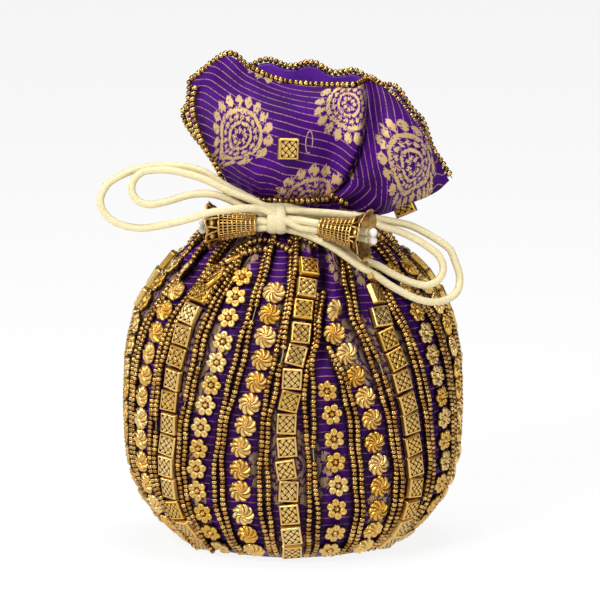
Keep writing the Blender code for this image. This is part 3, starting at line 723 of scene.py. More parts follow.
frill = {
    "foldAt": 3.9,            # column of the deep upright fold in the front flap
    "foldDepth": 11.0,        # mm
    "foldWidth": 0.5,         # columns
    "lobe": 4.0,              # mm that the lobes on both sides of the fold bulge
    "hang": 6.5,              # mm that the right lobe hangs over the neck
    "hearts": (               # where a paisley lies on the left and right lobe, and its turn in degrees
        ((-25.5, -30.5, 188.2), 17.0), ((53.7, -27.0, 176.5), -104.0),
    ),
    "arches": (               # across and height in mm, seen from the front
        ((-41.5, 119.0), (-36.5, 126.0), (-30.0, 132.5), (-23.0, 137.6), (-16.0, 140.4), (-9.0, 140.0),
         (-2.5, 137.0)),
        ((-38.5, 115.5), (-33.5, 123.3), (-27.5, 129.9), (-21.0, 134.8), (-14.0, 137.4), (-8.5, 136.5)),
        ((-3.0, 140.5), (1.5, 142.0), (6.0, 141.0), (9.5, 137.5)),
    ),
    "tubes": ((-26.6, 133.0, (1.0, 0.72)), (-34.5, 124.5, (1.0, 1.05))),
}


# soft folds that fan out from the neck and die away towards the rim
def wrinkle(grid, amount, seed):
    rows, cols = grid.shape[:2]
    s, u = np.linspace(0, 1, rows)[:, None], np.linspace(0, 1, cols)[None, :]
    rng = np.random.RandomState(seed)
    height = 1.2 * np.sin(9 * u * math.pi + 4 * s) * s * (1 - s)
    for _ in range(9):
        where, wide, size = rng.rand(), 0.012 + 0.02 * rng.rand(), 0.5 + 0.8 * rng.rand()
        lean = (rng.rand() - 0.5) * 0.12
        height += size * bump((u - where - lean * s) / wide) * np.clip(1.1 - 1.3 * s, 0, 1)
    grid[1:] += (gridNormals(grid) * (height * amount)[:, :, None])[1:]


# the column of the fold at each share of the front flap's height
def foldColumn(s):
    return frill["foldAt"] + 0.5 * np.sin(2.2 * s)


# the deep fold of the front flap, its cloth rolling forward on both sides of it
def foldFront(grid, columnValues):
    s, column = np.linspace(0, 1, len(grid))[:, None], columnValues[None, :]
    c = column - foldColumn(s)
    depth = frill["foldDepth"] * bump(c / frill["foldWidth"])
    lobes = frill["lobe"] * (bump((c + 1.5) / 1.1) + bump((c - 1.5) / 1.1))
    grid[:, :, 1] += (depth - lobes) * np.sin(np.pi * np.clip(s * 0.62 + 0.05, 0, 1)) ** 0.8
    grid[:, :, 2] -= frill["hang"] * bump((column - 9.6) / 1.9) * bump((s - 0.2) / 0.15) + 1.8 * s ** 4


# lengths across and up a flap, turned where the cloth turns over in the fold
def flatMap(grid, columnValues):
    count = grid.shape[1]
    lengths = np.linalg.norm(grid[:, 4:] - grid[:, :-4], axis=2).mean(axis=1)[:, None] / 4
    lengths[:12] = lengths[12]
    across = lengths * (np.arange(count) - count // 2)[None, :]
    up = np.zeros(grid.shape[:2])
    up[1:] = np.cumsum(np.linalg.norm(np.diff(grid, axis=0), axis=2), axis=0)
    window = np.hanning(31) / np.hanning(31).sum()
    up = 160.0 + np.array([np.convolve(np.pad(row, 15, mode="edge"), window, mode="valid") for row in up])
    if columnValues[0] > 0:
        return np.stack([across, up], axis=2)
    flat = []
    for heart, slant in frill["hearts"]:
        turn = math.radians(slant)
        one = np.stack([across * math.cos(turn) - up * math.sin(turn),
                        across * math.sin(turn) + up * math.cos(turn)], axis=2)
        flat.append(one - one.reshape(-1, 2)[np.argmin(np.linalg.norm(grid - heart, axis=2))])
    share = columnValues[None, :] > foldColumn(np.linspace(0, 1, len(grid))[:, None]) - 0.35
    return np.where(share[:, :, None], flat[1], flat[0])


fineAcross = 6
flapRows = 46
pouchColumns = np.arange(columns * fineAcross) / fineAcross
frontColumns = np.arange(-slitColumn * fineAcross, slitColumn * fineAcross + 1) / fineAcross
backColumns = np.arange(slitColumn * fineAcross, (columns - slitColumn) * fineAcross + 1) / fineAcross
frontGrid = flapGrid(frontFlap, frontColumns, flapRows)
backGrid = flapGrid([row[::-1] for row in backFlap], backColumns, flapRows)
frontFlat, backFlat = flatMap(frontGrid, frontColumns), flatMap(backGrid, backColumns)
foldFront(frontGrid, frontColumns)
backGrid[:, :, 2] -= 3.0 * np.linspace(0, 1, flapRows)[:, None] ** 2 * (1 + 0.5 * np.sin(backColumns * 1.9))
wrinkle(frontGrid, 1.3, 3)
wrinkle(backGrid, 1.0, 8)
frontNormals, backNormals = gridNormals(frontGrid), gridNormals(backGrid)


def buildCloth():
    heights = np.concatenate([np.linspace(0, 10, 6), np.linspace(12, 120, 48), np.linspace(122, 157, 24)])
    inHeights = np.concatenate([np.linspace(2.5, 120, 28), np.linspace(124, 157, 16)])
    points, uv, faces, slots, unshadedShare = [], [], [], [], []

    def addRow(row, across, up, lit=1.0):
        start = sum(len(p) for p in points)
        points.append(row)
        unshadedShare.append(np.broadcast_to(lit, (len(row),)))
        uv.append(np.stack([across, np.broadcast_to(up, (len(row),))], axis=1))
        return start + np.arange(len(row))

    def addStrip(low, high, closed, slot):
        for j in range(len(low) - (not closed)):
            k = (j + 1) % len(low)
            quad = [low[j], low[k], high[k], high[j]]
            faces.append(quad[::-1] if slot else quad)
            slots.append(slot)

    across = wrapped(pouchColumns, columns) * pouch["acrossPerColumn"]
    # painted shade: the open value falls towards nothing in the gathers, so the brocade is darkened there as if in
    # shadow, fading out towards the neck
    gatherShadeMask = np.exp(-(((pouchColumns % 2) - 1) / 0.62) ** 4)
    climbs = runLengths(np.array([ringPoints([0.0], z)[0] for z in heights]))
    outer = [addRow(ringPoints(pouchColumns, z), across, climb, 1 - gatherShadeMask * (1 - ramp(z, 136.0, 150.0)))
             for z, climb in zip(heights, climbs)]
    inner = [addRow(ringPoints(pouchColumns, z, pouch["wall"]) + [0, 0, 0 if z > 2.6 else -1.2], across,
                    np.interp(z, heights, climbs)) for z in inHeights]
    for rows, slot in ((outer, 0), (inner, 1)):
        for low, high in zip(rows, rows[1:]):
            addStrip(low, high, True, slot)
    bottomRing = addRow(ringPoints(pouchColumns, 0.0) * [0.6, 0.6, 1], across, 0.0)
    addStrip(bottomRing, outer[0], True, 0)
    bottom, floor = [addRow(np.array([[0.0, 0.0, z]]), np.zeros(1), 0.0)[0] for z in (0.0, pouch["wall"])]
    for j in range(len(pouchColumns)):
        k = (j + 1) % len(pouchColumns)
        faces.extend([[bottomRing[k], bottomRing[j], bottom], [inner[0][j], inner[0][k], floor]])
        slots.extend([0, 1])

    for grid, normals, order, flat in ((frontGrid, frontNormals, frontColumns, frontFlat),
                                       (backGrid, backNormals, backColumns, backFlat)):
        index = np.round(order * fineAcross).astype(int) % len(pouchColumns)
        outRows, inRows = [outer[-1][index]], [inner[-1][index]]
        for i in range(1, len(grid)):
            outRows.append(addRow(grid[i], flat[i][:, 0], flat[i][:, 1]))
            inRows.append(addRow(grid[i] - normals[i] * (pouch["wall"] * 0.8), flat[i][:, 0], flat[i][:, 1]))
        for out, outNext, inside, insideNext in zip(outRows, outRows[1:], inRows, inRows[1:]):
            addStrip(out, outNext, False, 0)
            addStrip(inside, insideNext, False, 1)
            faces.append([out[0], outNext[0], insideNext[0], inside[0]])
            faces.append([out[-1], inside[-1], insideNext[-1], outNext[-1]])
            slots.extend([0, 0])
        addStrip(outRows[-1], inRows[-1], False, 0)
    piece = meshPiece("bagCloth", np.concatenate(points), faces, [violetBrocade, violetLining],
                      uv=np.concatenate(uv), slots=slots, values={"open": np.concatenate(unshadedShare)})
    handOver(piece, "bag", "violet_brocade", "bag_shell")
    print("cloth built", len(piece.data.polygons))


# Bead shapes, each with its back on z = 0 and the string along y
beads = {
    "squareWide": 9.1,
    "squareTall": 9.5,
    "squareThick": 3.0,
    "relief": 0.22,           # mm that the woven knot stands up
    "flowerRadius": 5.2,
    "petals": 6,
    "swirlRadius": 5.2,
    "flutes": 9,
    "swirlTwist": 0.95,       # radians that a flute turns from the centre to the edge
    "roundThick": 3.2,
    "pitch": 10.3,
    "seedDiameter": 2.75,
    "seedLength": 1.95,
    "seedPitch": 2.02,
    "seedSide": 3.2,          # mm between the two strands of a pair where there is room
    "trimPitch": 2.4,
}


def beadMesh(name, points, faces, material, high, uv=None):
    points = np.asarray(points, float)
    bead = meshPiece(name, points, faces, [material], uv=points[:, :2] / 5.0 if uv is None else uv,
                     values={"high": high}, linked=False)
    closeMesh(bead.data, 0.0)
    return bead


# a round bead from a polar grid; outline gives its radius by angle, surface its height and its polish
def polarBead(name, spokes, radii, outline, surface, thick, twist=0.0):
    level, polish = surface(0.0, 0.0)
    points, high = [[0.0, 0.0, level]], [polish]
    rings = [(r, None, 1.0) for r in radii] + [(1.0, 0.25 * thick, 1.0), (1.0, 0.0, 0.8)]
    for r, z, shrink in rings:
        for j in range(spokes):
            a = fullTurn * j / spokes
            level, polish = surface(r, a)
            edge, turn = outline(a) * r * shrink, a + twist * r
            points.append([edge * math.cos(turn), edge * math.sin(turn), level if z is None else z])
            high.append(polish if z is None else 0.25)
    faces = gridFaces(1, len(rings), spokes, True, False) + [[0, 1 + j, 1 + (j + 1) % spokes] for j in range(spokes)]
    faces.append([1 + (len(rings) - 1) * spokes + j for j in range(spokes)])
    return beadMesh(name, points, faces, goldPlain, high)


# a dome with deep flutes that curve out from its centre to a lobed edge
def makeSwirlBead():
    reach, thick, flutes = beads["swirlRadius"], beads["roundThick"], beads["flutes"]

    def crest(a):
        return abs(math.cos(flutes * a / 2))

    def outline(a):
        return reach * (0.93 + 0.07 * crest(a))

    def surface(r, a):
        dome = thick * (0.5 + 0.5 * math.sqrt(max(1 - 0.96 * r * r, 0)))
        return dome - (1 - crest(a)) * min(1.0, 3.2 * r), ramp(crest(a), 0.0, 0.5) if r > 0.1 else 0.6

    return polarBead("swirlBead", 6 * flutes, (0.13, 0.32, 0.54, 0.76, 0.91, 1.0), outline, surface, thick,
                     beads["swirlTwist"])


# six dished petals with raised rims and deep notches round a ball
def makeFlowerBead():
    reach, thick = beads["flowerRadius"], beads["roundThick"]
    step = fullTurn / beads["petals"]
    middle, petal = 0.65, 0.35

    def outline(a):
        off = abs((a + step / 2) % step - step / 2)
        return reach * (middle * math.cos(off) + math.sqrt(max(petal ** 2 - (middle * math.sin(off)) ** 2, 0.0)))

    def surface(r, a):
        if r < 0.2:
            ball = math.sqrt(max(0.0, 1 - (r / 0.22) ** 2))
            return thick * (0.5 + 0.58 * ball), 0.7 + 0.3 * ball
        if r < 0.29:
            return thick * 0.42, 0.0
        off, r = a - round(a / step) * step, r * outline(a) / reach
        away = math.hypot(r * math.cos(off) - middle, r * math.sin(off)) / petal
        full = (1 - 0.8 * bump(away / 0.38)) * (1 - 0.75 * ramp(away, 0.72, 1.02))
        return thick * (0.48 + 0.4 * full), 0.05 + 0.95 * full

    return polarBead("flowerBead", 8 * beads["petals"], (0.1, 0.19, 0.27, 0.42, 0.56, 0.72, 0.87, 1.0),
                     outline, surface, thick)


# how high the woven knot stands at a place on a square bead's face, from -1 to 1 both ways
def knotRelief(u, v):
    if max(abs(u), abs(v)) > 0.78:
        return 1.0
    p, q = (u + v) * castGold["weaveBands"] / 2 + 8, (u - v) * castGold["weaveBands"] / 2 + 8
    chosen = p if (math.floor(p) + math.floor(q)) % 2 else q
    return 1 - ramp(abs(chosen % 1 - 0.5), 0.24, 0.42)


# a tile with rounded edges, its face a fine grid that carries the woven knot
def makeSquareBead():
    wide, tall, thick = beads["squareWide"] / 2, beads["squareTall"] / 2, beads["squareThick"]
    count = 16
    row = count + 1
    points, high = [], []
    for i in range(row):
        for j in range(row):
            u, v = 2 * j / count - 1, 2 * i / count - 1
            level = knotRelief(u, v)
            drop = 0.35 * (max(abs(u), abs(v)) > 0.99)
            points.append([u * (wide - 0.12), v * (tall - 0.12), thick - beads["relief"] * (1 - level) - drop])
            high.append(0.35 + 0.65 * level)
    faces = gridFaces(0, row, row, False, False)
    last = [start + step * j for start, step in ((0, 1), (count, row), (row * row - 1, -1), (count * row, -row))
            for j in range(count)]
    rim = last
    for z, grow, level in ((thick - 0.8, 0.12, 0.9), (0.7, 0.12, 0.5), (0.0, -0.5, 0.2)):
        here = [len(points) + j for j in range(len(rim))]
        for x, y, _ in [points[index] for index in rim]:
            points.append([x + math.copysign(grow, x) * (abs(x) > wide - 0.2),
                           y + math.copysign(grow, y) * (abs(y) > tall - 0.2), z])
            high.append(level)
        faces += [[last[j - 1], here[j - 1], here[j], last[j]] for j in range(len(rim))]
        last = here
    faces.append(last)
    return beadMesh("squareBead", points, faces, goldWoven, high, np.asarray(points)[:, :2] / (wide, tall))


# a bead turned round the string from places on its section: radius, place along it and polish
def turnedBead(name, around, section, closed, material):
    turns = [fullTurn * i / around for i in range(around)]
    points = [[r * math.cos(a), y, r * math.sin(a)] for a in turns for r, y, level in section]
    faces = gridFaces(0, around, len(section), closed, True)
    if not closed:
        faces += [[i * len(section) + end for i in range(around)] for end in (0, len(section) - 1)]
    return beadMesh(name, points, faces, material, [level for a in turns for r, y, level in section])


# a barrel with a hole along y; its high value is painted shade, low where it turns in to the hole and on its ends
def makeSeedBead():
    outer, length = beads["seedDiameter"] / 2, beads["seedLength"] / 2
    section = ((0.3, -0.78), (0.62, -1.0), (0.92, -0.55), (1.0, 0.0), (0.92, 0.55), (0.62, 1.0), (0.3, 0.78))
    section = [(outer * r, length * y, (r - 0.3) / 0.7) for r, y in section]
    return turnedBead("seedBead", 8, section, False, bronzeSeed)


# a drawn tube, its ends darker towards the hole, the string along y
def makeTubeBead():
    section = ((0.45, -4.2), (0.9, -4.5), (1.25, -4.1), (1.25, 4.1), (0.9, 4.5), (0.45, 4.2))
    return turnedBead("tubeBead", 12, [(r, y, min(1.0, r / 1.1)) for r, y in section], True, goldPlain)


# sets one bead on each guide point, faced and turned by the point's own directions
def beadTree():
    tree = bpy.data.node_groups.new("setBeads", "GeometryNodeTree")
    node = partial(addNode, tree)
    for name, kind in (("Geometry", "Geometry"), ("Bead", "Object"), ("Bead scale", "Float"),
                       ("Size spread", "Float"), ("Seed", "Int"), ("Finish", "Material")):
        tree.interface.new_socket(name, in_out="INPUT", socket_type="NodeSocket" + kind)
    tree.interface.new_socket("Geometry", in_out="OUTPUT", socket_type="NodeSocketGeometry")
    source = tree.nodes.new("NodeGroupInput").outputs
    seed = {"Seed": source["Seed"]}
    facing, along = [node("GeometryNodeInputNamedAttribute", label, data_type="FLOAT_VECTOR")
                     for label in ("facing", "along")]
    turned = node("align", inputs={"Vector": facing}, axis="Z")
    laid = node("align", inputs={"Rotation": turned, "Vector": along}, axis="Y", pivot_axis="Z")
    bead = node("GeometryNodeObjectInfo", inputs={"Object": source["Bead"], "As Instance": True}, output="Geometry")
    lowest = node("SUBTRACT", source["Bead scale"], source["Size spread"])
    size = node("random", lowest, source["Bead scale"], inputs=seed)
    placed = node("GeometryNodeInstanceOnPoints", inputs={
        "Points": source["Geometry"], "Instance": bead, "Rotation": laid, "Scale": size})
    stored = node("GeometryNodeStoreNamedAttribute", inputs={"Geometry": placed, "Name": "tone"},
                  data_type="FLOAT", domain="INSTANCE")
    tree.links.new(node("random", 0.0, 1.0, inputs=seed),
                   [s for s in stored.node.inputs if s.enabled and s.name == "Value"][0])
    real = node("GeometryNodeRealizeInstances", stored)
    node("NodeGroupOutput", node("GeometryNodeSetMaterial", inputs={"Geometry": real, "Material": source["Finish"]}))
    return tree


setBeads = beadTree()


# guide rows hold a place, the direction the bead faces and the direction of its string
def setBeadsAlong(name, guide, bead, seed, scale=1.0, spread=0.0):
    guide = np.asarray(guide, float)
    mesh = bpy.data.meshes.new(name + "Guide")
    mesh.from_pydata((guide[:, :3] * mm).tolist(), [], [])
    for label, part in (("facing", guide[:, 3:6]), ("along", guide[:, 6:9])):
        layer = mesh.attributes.new(label, "FLOAT_VECTOR", "POINT")
        layer.data.foreach_set("vector", part.astype(np.float32).reshape(-1))
    holder = addObject(name + "Guide", mesh)
    modifier = holder.modifiers.new("beads", "NODES")
    modifier.node_group = setBeads
    wanted = {"Bead": bead, "Bead scale": scale, "Size spread": spread, "Seed": seed,
              "Finish": bead.data.materials[0]}
    for item in setBeads.interface.items_tree:
        if item.in_out == "INPUT" and item.name in wanted:
            modifier[item.identifier] = wanted[item.name]
    bpy.context.view_layer.update()
    result = bpy.data.meshes.new_from_object(holder.evaluated_get(bpy.context.evaluated_depsgraph_get()))
    result.name = name
    bpy.data.objects.remove(holder, do_unlink=True)
    return addObject(name, result)


# Places, outward and along directions down a column of the smooth cloth, with the room at each side
def columnLine(column, low, high, steps=90):
    farLeft, left, centre, right, farRight = [
        np.array([ringPoints([column + off], z)[0] for z in np.linspace(low, high, steps)])
        for off in (-1, -0.35, 0, 0.35, 1)]
    along = np.gradient(centre, axis=0)
    along /= np.linalg.norm(along, axis=1, keepdims=True)
    normal = np.cross(farRight - farLeft, along)
    normal /= np.linalg.norm(normal, axis=1, keepdims=True)
    side = np.cross(along, normal)
    steep = np.max([((edge - centre) * normal).sum(1) for edge in (left, right)] + [np.zeros(steps)], axis=0)
    room = np.min([np.abs(((edge - centre) * side).sum(1)) for edge in (farLeft, farRight)], axis=0)
    return runLengths(centre), centre, normal, along, side, steep, room


# Turns a bead a little about the direction it faces, its string and its width
def tilted(facing, along, spin, roll, pitch):
    side = np.cross(along, facing)
    along = unit(along * math.cos(spin) + side * math.sin(spin))
    side = unit(np.cross(along, facing))
    facing = unit(facing * math.cos(roll) + side * math.sin(roll))
    facing = unit(facing * math.cos(pitch) + along * math.sin(pitch))
    return facing, squareTo(along, facing)


# rows and places from the top of beads that have rolled over in the gathers, and how far in radians
turnedBeads = {(3, 0): 0.95, (3, 1): 0.6, (-4, 0): -0.7, (2, 0): 0.9, (1, 0): -0.5, (0, 0): 0.25}


def rowGuide(row, rng):
    column, row = 2 * row, wrapped(row, 21)
    lengths, centre, normal, along, side, _, _ = columnLine(column, pouch["strandStart"], rowTops.get(row, 131.0))
    count = max(round(lengths[-1] / beads["pitch"]), 2)
    reach = beads["squareTall"] * 0.45
    guide = []
    for i in range(count):
        s = (i + 0.5) * (lengths[-1] / count) + rng.uniform(-0.25, 0.25)
        place, out, way, across = readAt(s, lengths, centre, normal, along, side)
        lift = max(0.0, *[float((readAt(s + d, lengths, centre)[0] - place) @ out) for d in (-reach, reach)]) + 0.45
        roll = turnedBeads.get((row, count - 1 - i), 0.0)
        spin = rng.uniform(-0.6, 0.6) if row % 3 else rng.uniform(-0.11, 0.11)
        facing, way = tilted(out, way, spin, roll + rng.uniform(-0.10, 0.10), rng.uniform(-0.09, 0.09))
        shift = across * rng.uniform(-0.5, 0.5)
        lift += abs(math.sin(roll)) * beads["squareWide"] * 0.32
        guide.append(np.concatenate([place + out * lift + shift, facing, way]))
    return guide


# columns and heights where the thread shows between beads
bareThread = {(-1, 96.0), (-3, 112.0), (1, 52.0), (5, 88.0), (-7, 60.0), (12, 70.0), (18, 40.0)}


# both seed strands beside each other at one odd column
def pairGuide(column, rng):
    signed = wrapped(column, columns)
    lengths, centre, normal, along, side, steep, room = columnLine(
        column, pouch["strandStart"], pairTops.get(signed, 142.0))
    guide, threads = [], []
    for strand in (-1, 1):
        phase = rng.uniform(0, 6.28)
        s = rng.uniform(0, beads["seedPitch"]) + (0.5 * beads["seedPitch"] if strand == 1 else 0)
        line = []
        while s < lengths[-1]:
            place, out, way, across = readAt(s, lengths, centre, normal, along, side)
            gap = float(np.interp(s, lengths, room)) - beads["squareWide"] / 2 - 0.2
            apart = min(max(gap, 0.5), beads["seedSide"]) / 2
            stack = math.sqrt(max((beads["seedDiameter"] * 0.96) ** 2 - (2 * apart) ** 2, 0.0))
            wobble = 0.45 * math.sin(s / 9.0 + phase) + 0.2 * math.sin(s / 3.1 + 2 * phase)
            lift = beads["seedDiameter"] / 2 + 0.1 + float(np.interp(s, lengths, steep)) * 0.6
            lift += stack if strand == 1 else 0.0
            spot = place + across * (strand * apart + wobble) + out * lift
            line.append(spot)
            bare = strand == 1 and any(b == signed and abs(place[2] - z) < 2.6 for b, z in bareThread)
            if not bare and rng.random() > 0.004:
                facing, way = tilted(out, way, rng.uniform(-0.2, 0.2), 0.0, rng.uniform(-0.16, 0.16))
                guide.append(np.concatenate([spot, facing, way]))
            s += beads["seedPitch"] * rng.uniform(0.96, 1.06)
        threads.append(np.array(line))
    return guide, threads


# Thin three-sided threads through the beads, seen where beads stand apart
def buildThreads(name, lines, radius):
    points, faces = [], []
    for line in lines:
        start = len(points)
        for spot, forward in zip(line, np.gradient(line, axis=0)):
            forward = unit(forward)
            first = unit(np.cross(forward, [0.31, 0.2, 0.93]))
            second = np.cross(forward, first)
            points += [spot + radius * (math.cos(a) * first + math.sin(a) * second)
                       for a in (0, fullTurn / 3, 2 * fullTurn / 3)]
        faces += gridFaces(start, len(line), 3, True, False)
        faces += [[start + 2, start + 1, start], [len(points) - 3, len(points) - 2, len(points) - 1]]
    handOver(meshPiece(name, points, faces, [beadThread]), "bag", "bronze_seed")


def buildStrands():
    rng = random.Random(11)
    shapes = (("square", makeSquareBead()), ("flower", makeFlowerBead()), ("swirl", makeSwirlBead()))
    guides = [[], [], []]
    for row in range(21):
        guides[wrapped(row, 21) % 3].extend(rowGuide(row, rng))
    for kind, (label, bead) in enumerate(shapes):
        piece = setBeadsAlong(label + "Strands", guides[kind], bead, 5 + kind, spread=0.05)
        handOver(piece, "bag", "antique_gold", *[f"strand_{label}_{i}" for i in range(1, 8)])
        print(label, "beads", len(guides[kind]), "faces", len(piece.data.polygons))
    seed = makeSeedBead()
    threads = []
    for share in range(3):
        guide = []
        for number in range(share * 7, share * 7 + 7):
            beadsHere, lines = pairGuide(2 * number + 1, rng)
            guide.extend(beadsHere)
            threads.extend(lines)
        piece = setBeadsAlong(f"seedStrands{share + 1}", guide, seed, 21 + share, 1.08, 0.12)
        handOver(piece, "bag", "bronze_seed", *[f"seed_pair_{i}" for i in range(share * 7 + 1, share * 7 + 8)])
        print("seed beads", len(guide))
    buildThreads("strandThreads", threads, 0.3)
    return seed, shapes[0][1]


# seed beads threaded along a line of places with outward directions
def alongLine(line, ways, pitch, rng, jitter=0.12):
    lengths, forward, guide = runLengths(line), np.gradient(line, axis=0), []
    s = pitch / 2
    while s < lengths[-1]:
        place, out, way = readAt(s, lengths, line, ways, forward)
        way = unit(way)
        facing, way = tilted(squareTo(unit(out), way), way, rng.uniform(-0.1, 0.1), 0.0, rng.uniform(-0.2, 0.2))
        shift = np.array([rng.uniform(-jitter, jitter) for _ in range(3)])
        guide.append(np.concatenate([place + shift, facing, way]))
        s += pitch * rng.uniform(0.96, 1.05)
    return guide


# where the front cloth is at a place seen from the front, and the way it faces
def onCloth(x, z):
    fine = np.arange(-60, 61) / 6.0
    at = float(np.interp(x, ringPoints(fine, z)[:, 0], fine))
    here, left, right, above = [ringPoints([at + c], z + h)[0] for c, h in ((0, 0), (-0.3, 0), (0.3, 0), (0, 1))]
    return here, unit(np.cross(right - left, above - here))


# The line just outside a flap's edge: up one side, over the top and, if wanted, down the other
def rimLine(grid, normals, bothSides, start, reach):
    middle = grid - normals * pouch["wall"] * 0.4
    rows, cols = grid.shape[:2]
    stops = [(i, 0, i, 3) for i in range(start, rows - 1)] + [(-1, j, -4, j) for j in range(cols)]
    if bothSides:
        stops += [(i, -1, i, -4) for i in range(rows - 2, start, -1)]
    places = []
    for i, j, rowIn, colIn in stops:
        out = unit(middle[i][j] - middle[rowIn][colIn])
        if (i, j) == (-1, 0):
            out = unit(out + unit(middle[-1][0] - middle[-1][3]))
        places.append(middle[i][j] + out * reach)
    return np.array(places), np.array([normals[i][j] for i, j, _, _ in stops])


def buildTrims(seed, squareBead):
    rng = random.Random(4)
    reach = beads["seedDiameter"] * 0.6 + 0.2
    # the second string inside the left edge, from the top corner down to the neck
    second = slice(flapRows - 6, 3, -1)
    inner = frontGrid[second, 5] + frontNormals[second, 5] * reach
    # the string round the front of the neck
    low = int(0.28 * (flapRows - 1) / 4) + 3
    picked = (frontColumns >= -6.3) & (frontColumns <= 6.2)
    neck = frontGrid[low][picked] + frontNormals[low][picked] * (reach + 0.9)
    for _ in range(30):
        neck[1:-1] = (neck[:-2] + 2 * neck[1:-1] + neck[2:]) / 4
    # strings that arch over the shoulder under the knot and gather beside it
    arches = []
    for places in frill["arches"]:
        found = [onCloth(x, z) for x, z in places]
        line = smoothLine([p + n * (reach + rise) for (p, n), rise in zip(found, [0.4] + [1.6] * 20)], 60)
        ways = readAt(np.linspace(0, 1, 60), np.linspace(0, 1, len(found)), np.array([n for p, n in found]))[0].T
        arches.append((line, ways))
    threads = []
    for number, (name, nodes, lines) in enumerate((
            ("frontTrimBeads", ["front_trim"], [rimLine(frontGrid, frontNormals, False, 11, reach),
                                                (inner, frontNormals[second, 5])]),
            ("backTrimBeads", ["back_trim"], [rimLine(backGrid, backNormals, True, 14, reach)]),
            ("neckStringBeads", ["neck_string"], [(neck, frontNormals[low][picked])]),
            ("shoulderStrings", [], arches))):
        guide = [row for line, ways in lines for row in alongLine(line, ways, beads["trimPitch"], rng)]
        handOver(setBeadsAlong(name, guide, seed, 31 + number, 1.2, 0.16), "bag", "bronze_seed", *nodes)
        threads += [line for line, ways in lines]

    middle, edge = [sum(np.array(corner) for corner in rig.box(name)) / 2 / mm
                    for name in ("frill_square", "edge_square")]
    index = int(np.argmin(np.linalg.norm(frontGrid.reshape(-1, 3) - middle, axis=1)))
    place, out = frontGrid.reshape(-1, 3)[index], frontNormals.reshape(-1, 3)[index]
    upright = np.array([0.06, 0, 1.0])
    # the loose thread end that loops out at the right of the square bead
    right = unit(np.cross(out, upright))
    right = right * math.copysign(1, right[0])
    threads.append(np.array([place + out * (0.9 + 0.6 * math.sin(a / 2) ** 2) + right * (9.2 + 1.6 * math.cos(a))
                             + upright * (2.6 + 5.0 * math.sin(a)) for a in np.linspace(-0.5, fullTurn - 1.2, 26)]))
    guide = [np.concatenate([middle - out * beads["squareThick"] * 0.55, out, squareTo(upright, out)])]
    along = unit(frontGrid[flapRows // 2][-1] - frontGrid[flapRows // 2 - 12][-1])
    out = squareTo(np.array([0.3, -1.0, 0.2]), along)
    guide.append(np.concatenate([edge - out * beads["squareThick"] * 0.5, out, along]))
    handOver(setBeadsAlong("frillSquareBeads", guide, squareBead, 41), "bag", "antique_gold",
             "frill_square", "edge_square")
    buildThreads("trimThreads", threads, 0.28)

    # two drawn gold tubes that lie slanting on the left shoulder
    guide = []
    for x, z, way in frill["tubes"]:
        place, out = onCloth(x, z)
        guide.append(np.concatenate([place + out * 4.6, out, squareTo(unit([way[0], 0, way[1]]), out)]))
    handOver(setBeadsAlong("tubeBeads", guide, makeTubeBead(), 43), "bag", "antique_gold")
    print("trims built")


# Cords: the loops' points are the frame's own, with a short run out of the neck and one into a cone
cords = {
    "diameter": 3.4,
    "sides": 14,
    "tightest": 7.3,          # mm, the smallest bend radius
    "exitRight": (5.5, -21.0, 153.6),
    "exitLeft": (-20.0, -18.6, 153.6),
}
leftOuter = [
    (-12.3, -28.9, 157.8), (-18, -28.2, 161.2), (-29.6, -27, 167), (-39, -26, 173), (-48, -25, 175.5),
    (-60, -24, 175.7), (-69, -24, 174.5), (-76, -24, 172), (-82.5, -24, 168), (-86, -25, 162.8),
    (-86.5, -26, 159), (-84.2, -27, 154.5), (-79, -28, 150.5), (-69, -30, 148.5), (-58, -34, 150.5),
    (-46, -39, 154.2), (-37, -42.5, 157.5), (-26, -41.4, 159.0), (-18.5, -38.8, 158.9), (-12.4, -36.1, 157.6),
]
leftInner = [
    (-12.3, -32.5, 158.9), (-18, -33.0, 161.6), (-29.6, -31.8, 166), (-39, -30.5, 170.5), (-48, -29.8, 173.2),
    (-57, -29.2, 174.8), (-66, -28.8, 174.2), (-72, -28.6, 172.6), (-76.6, -28.4, 169.6), (-78.9, -28.4, 165.8),
    (-77.9, -29.6, 161.9), (-74, -30.9, 159.4), (-68, -31.5, 158.8), (-58, -31.5, 160.4), (-46, -31.5, 163.8),
    (-37, -31.5, 164.2), (-29.6, -30.6, 162), (-20, -29, 156.9), (-12.3, -28.6, 153.6),
]
rightOuter = [
    (-2.3, -28.8, 155.4), (6, -27.4, 154), (19.5, -25.5, 153.2), (32, -25, 153), (40, -24.5, 151.5),
    (46.5, -24, 150.2), (53, -23.5, 148.5), (59, -23.5, 145.6), (65.5, -24, 141.8), (70.6, -24, 137.7),
    (73, -24.5, 132.2), (74.7, -25, 127.3), (75, -26, 122.4), (73.8, -28, 118.6), (69.5, -31, 116.4),
    (63, -34.3, 115.6), (56, -37.0, 117.4), (49.6, -38.9, 120.6), (43.2, -40.4, 124.5), (36.9, -41.7, 129),
    (30.5, -42.4, 132.8), (24, -41.8, 137.4), (17, -39.5, 141.8), (10, -36.5, 144.9), (3, -33.8, 147.3),
    (-2.3, -32.6, 148.4),
]
rightInner = [
    (-2.3, -32.6, 157.0), (6, -31.2, 156.2), (19.5, -30, 155), (32, -29.8, 153.2), (40, -29, 149.2),
    (46.5, -28.8, 147.2), (53, -28.6, 144.4), (59, -28.6, 140.9), (64.4, -29, 137), (69, -29.4, 132.6),
    (71.4, -30, 129.6), (70.6, -31, 126.6), (67.3, -32.2, 124), (62, -32.8, 122.9), (56, -33.6, 123.6),
    (49.6, -35.6, 126.2), (43.2, -37.6, 129.8), (38, -38.6, 133), (33, -38.6, 134.9), (27.5, -38.3, 138),
    (20, -35.8, 143.4), (10, -31.6, 148.6), (3, -29.8, 150.1), (-2.3, -28.8, 150.6),
]
leftCone = ((-16.0, -35.0, 151.0), (-36.8, -31.6, 150.1))
rightCone = ((12.7, -41.5, 150.6), (33.0, -49.5, 148.3))
coneLength = 22.0
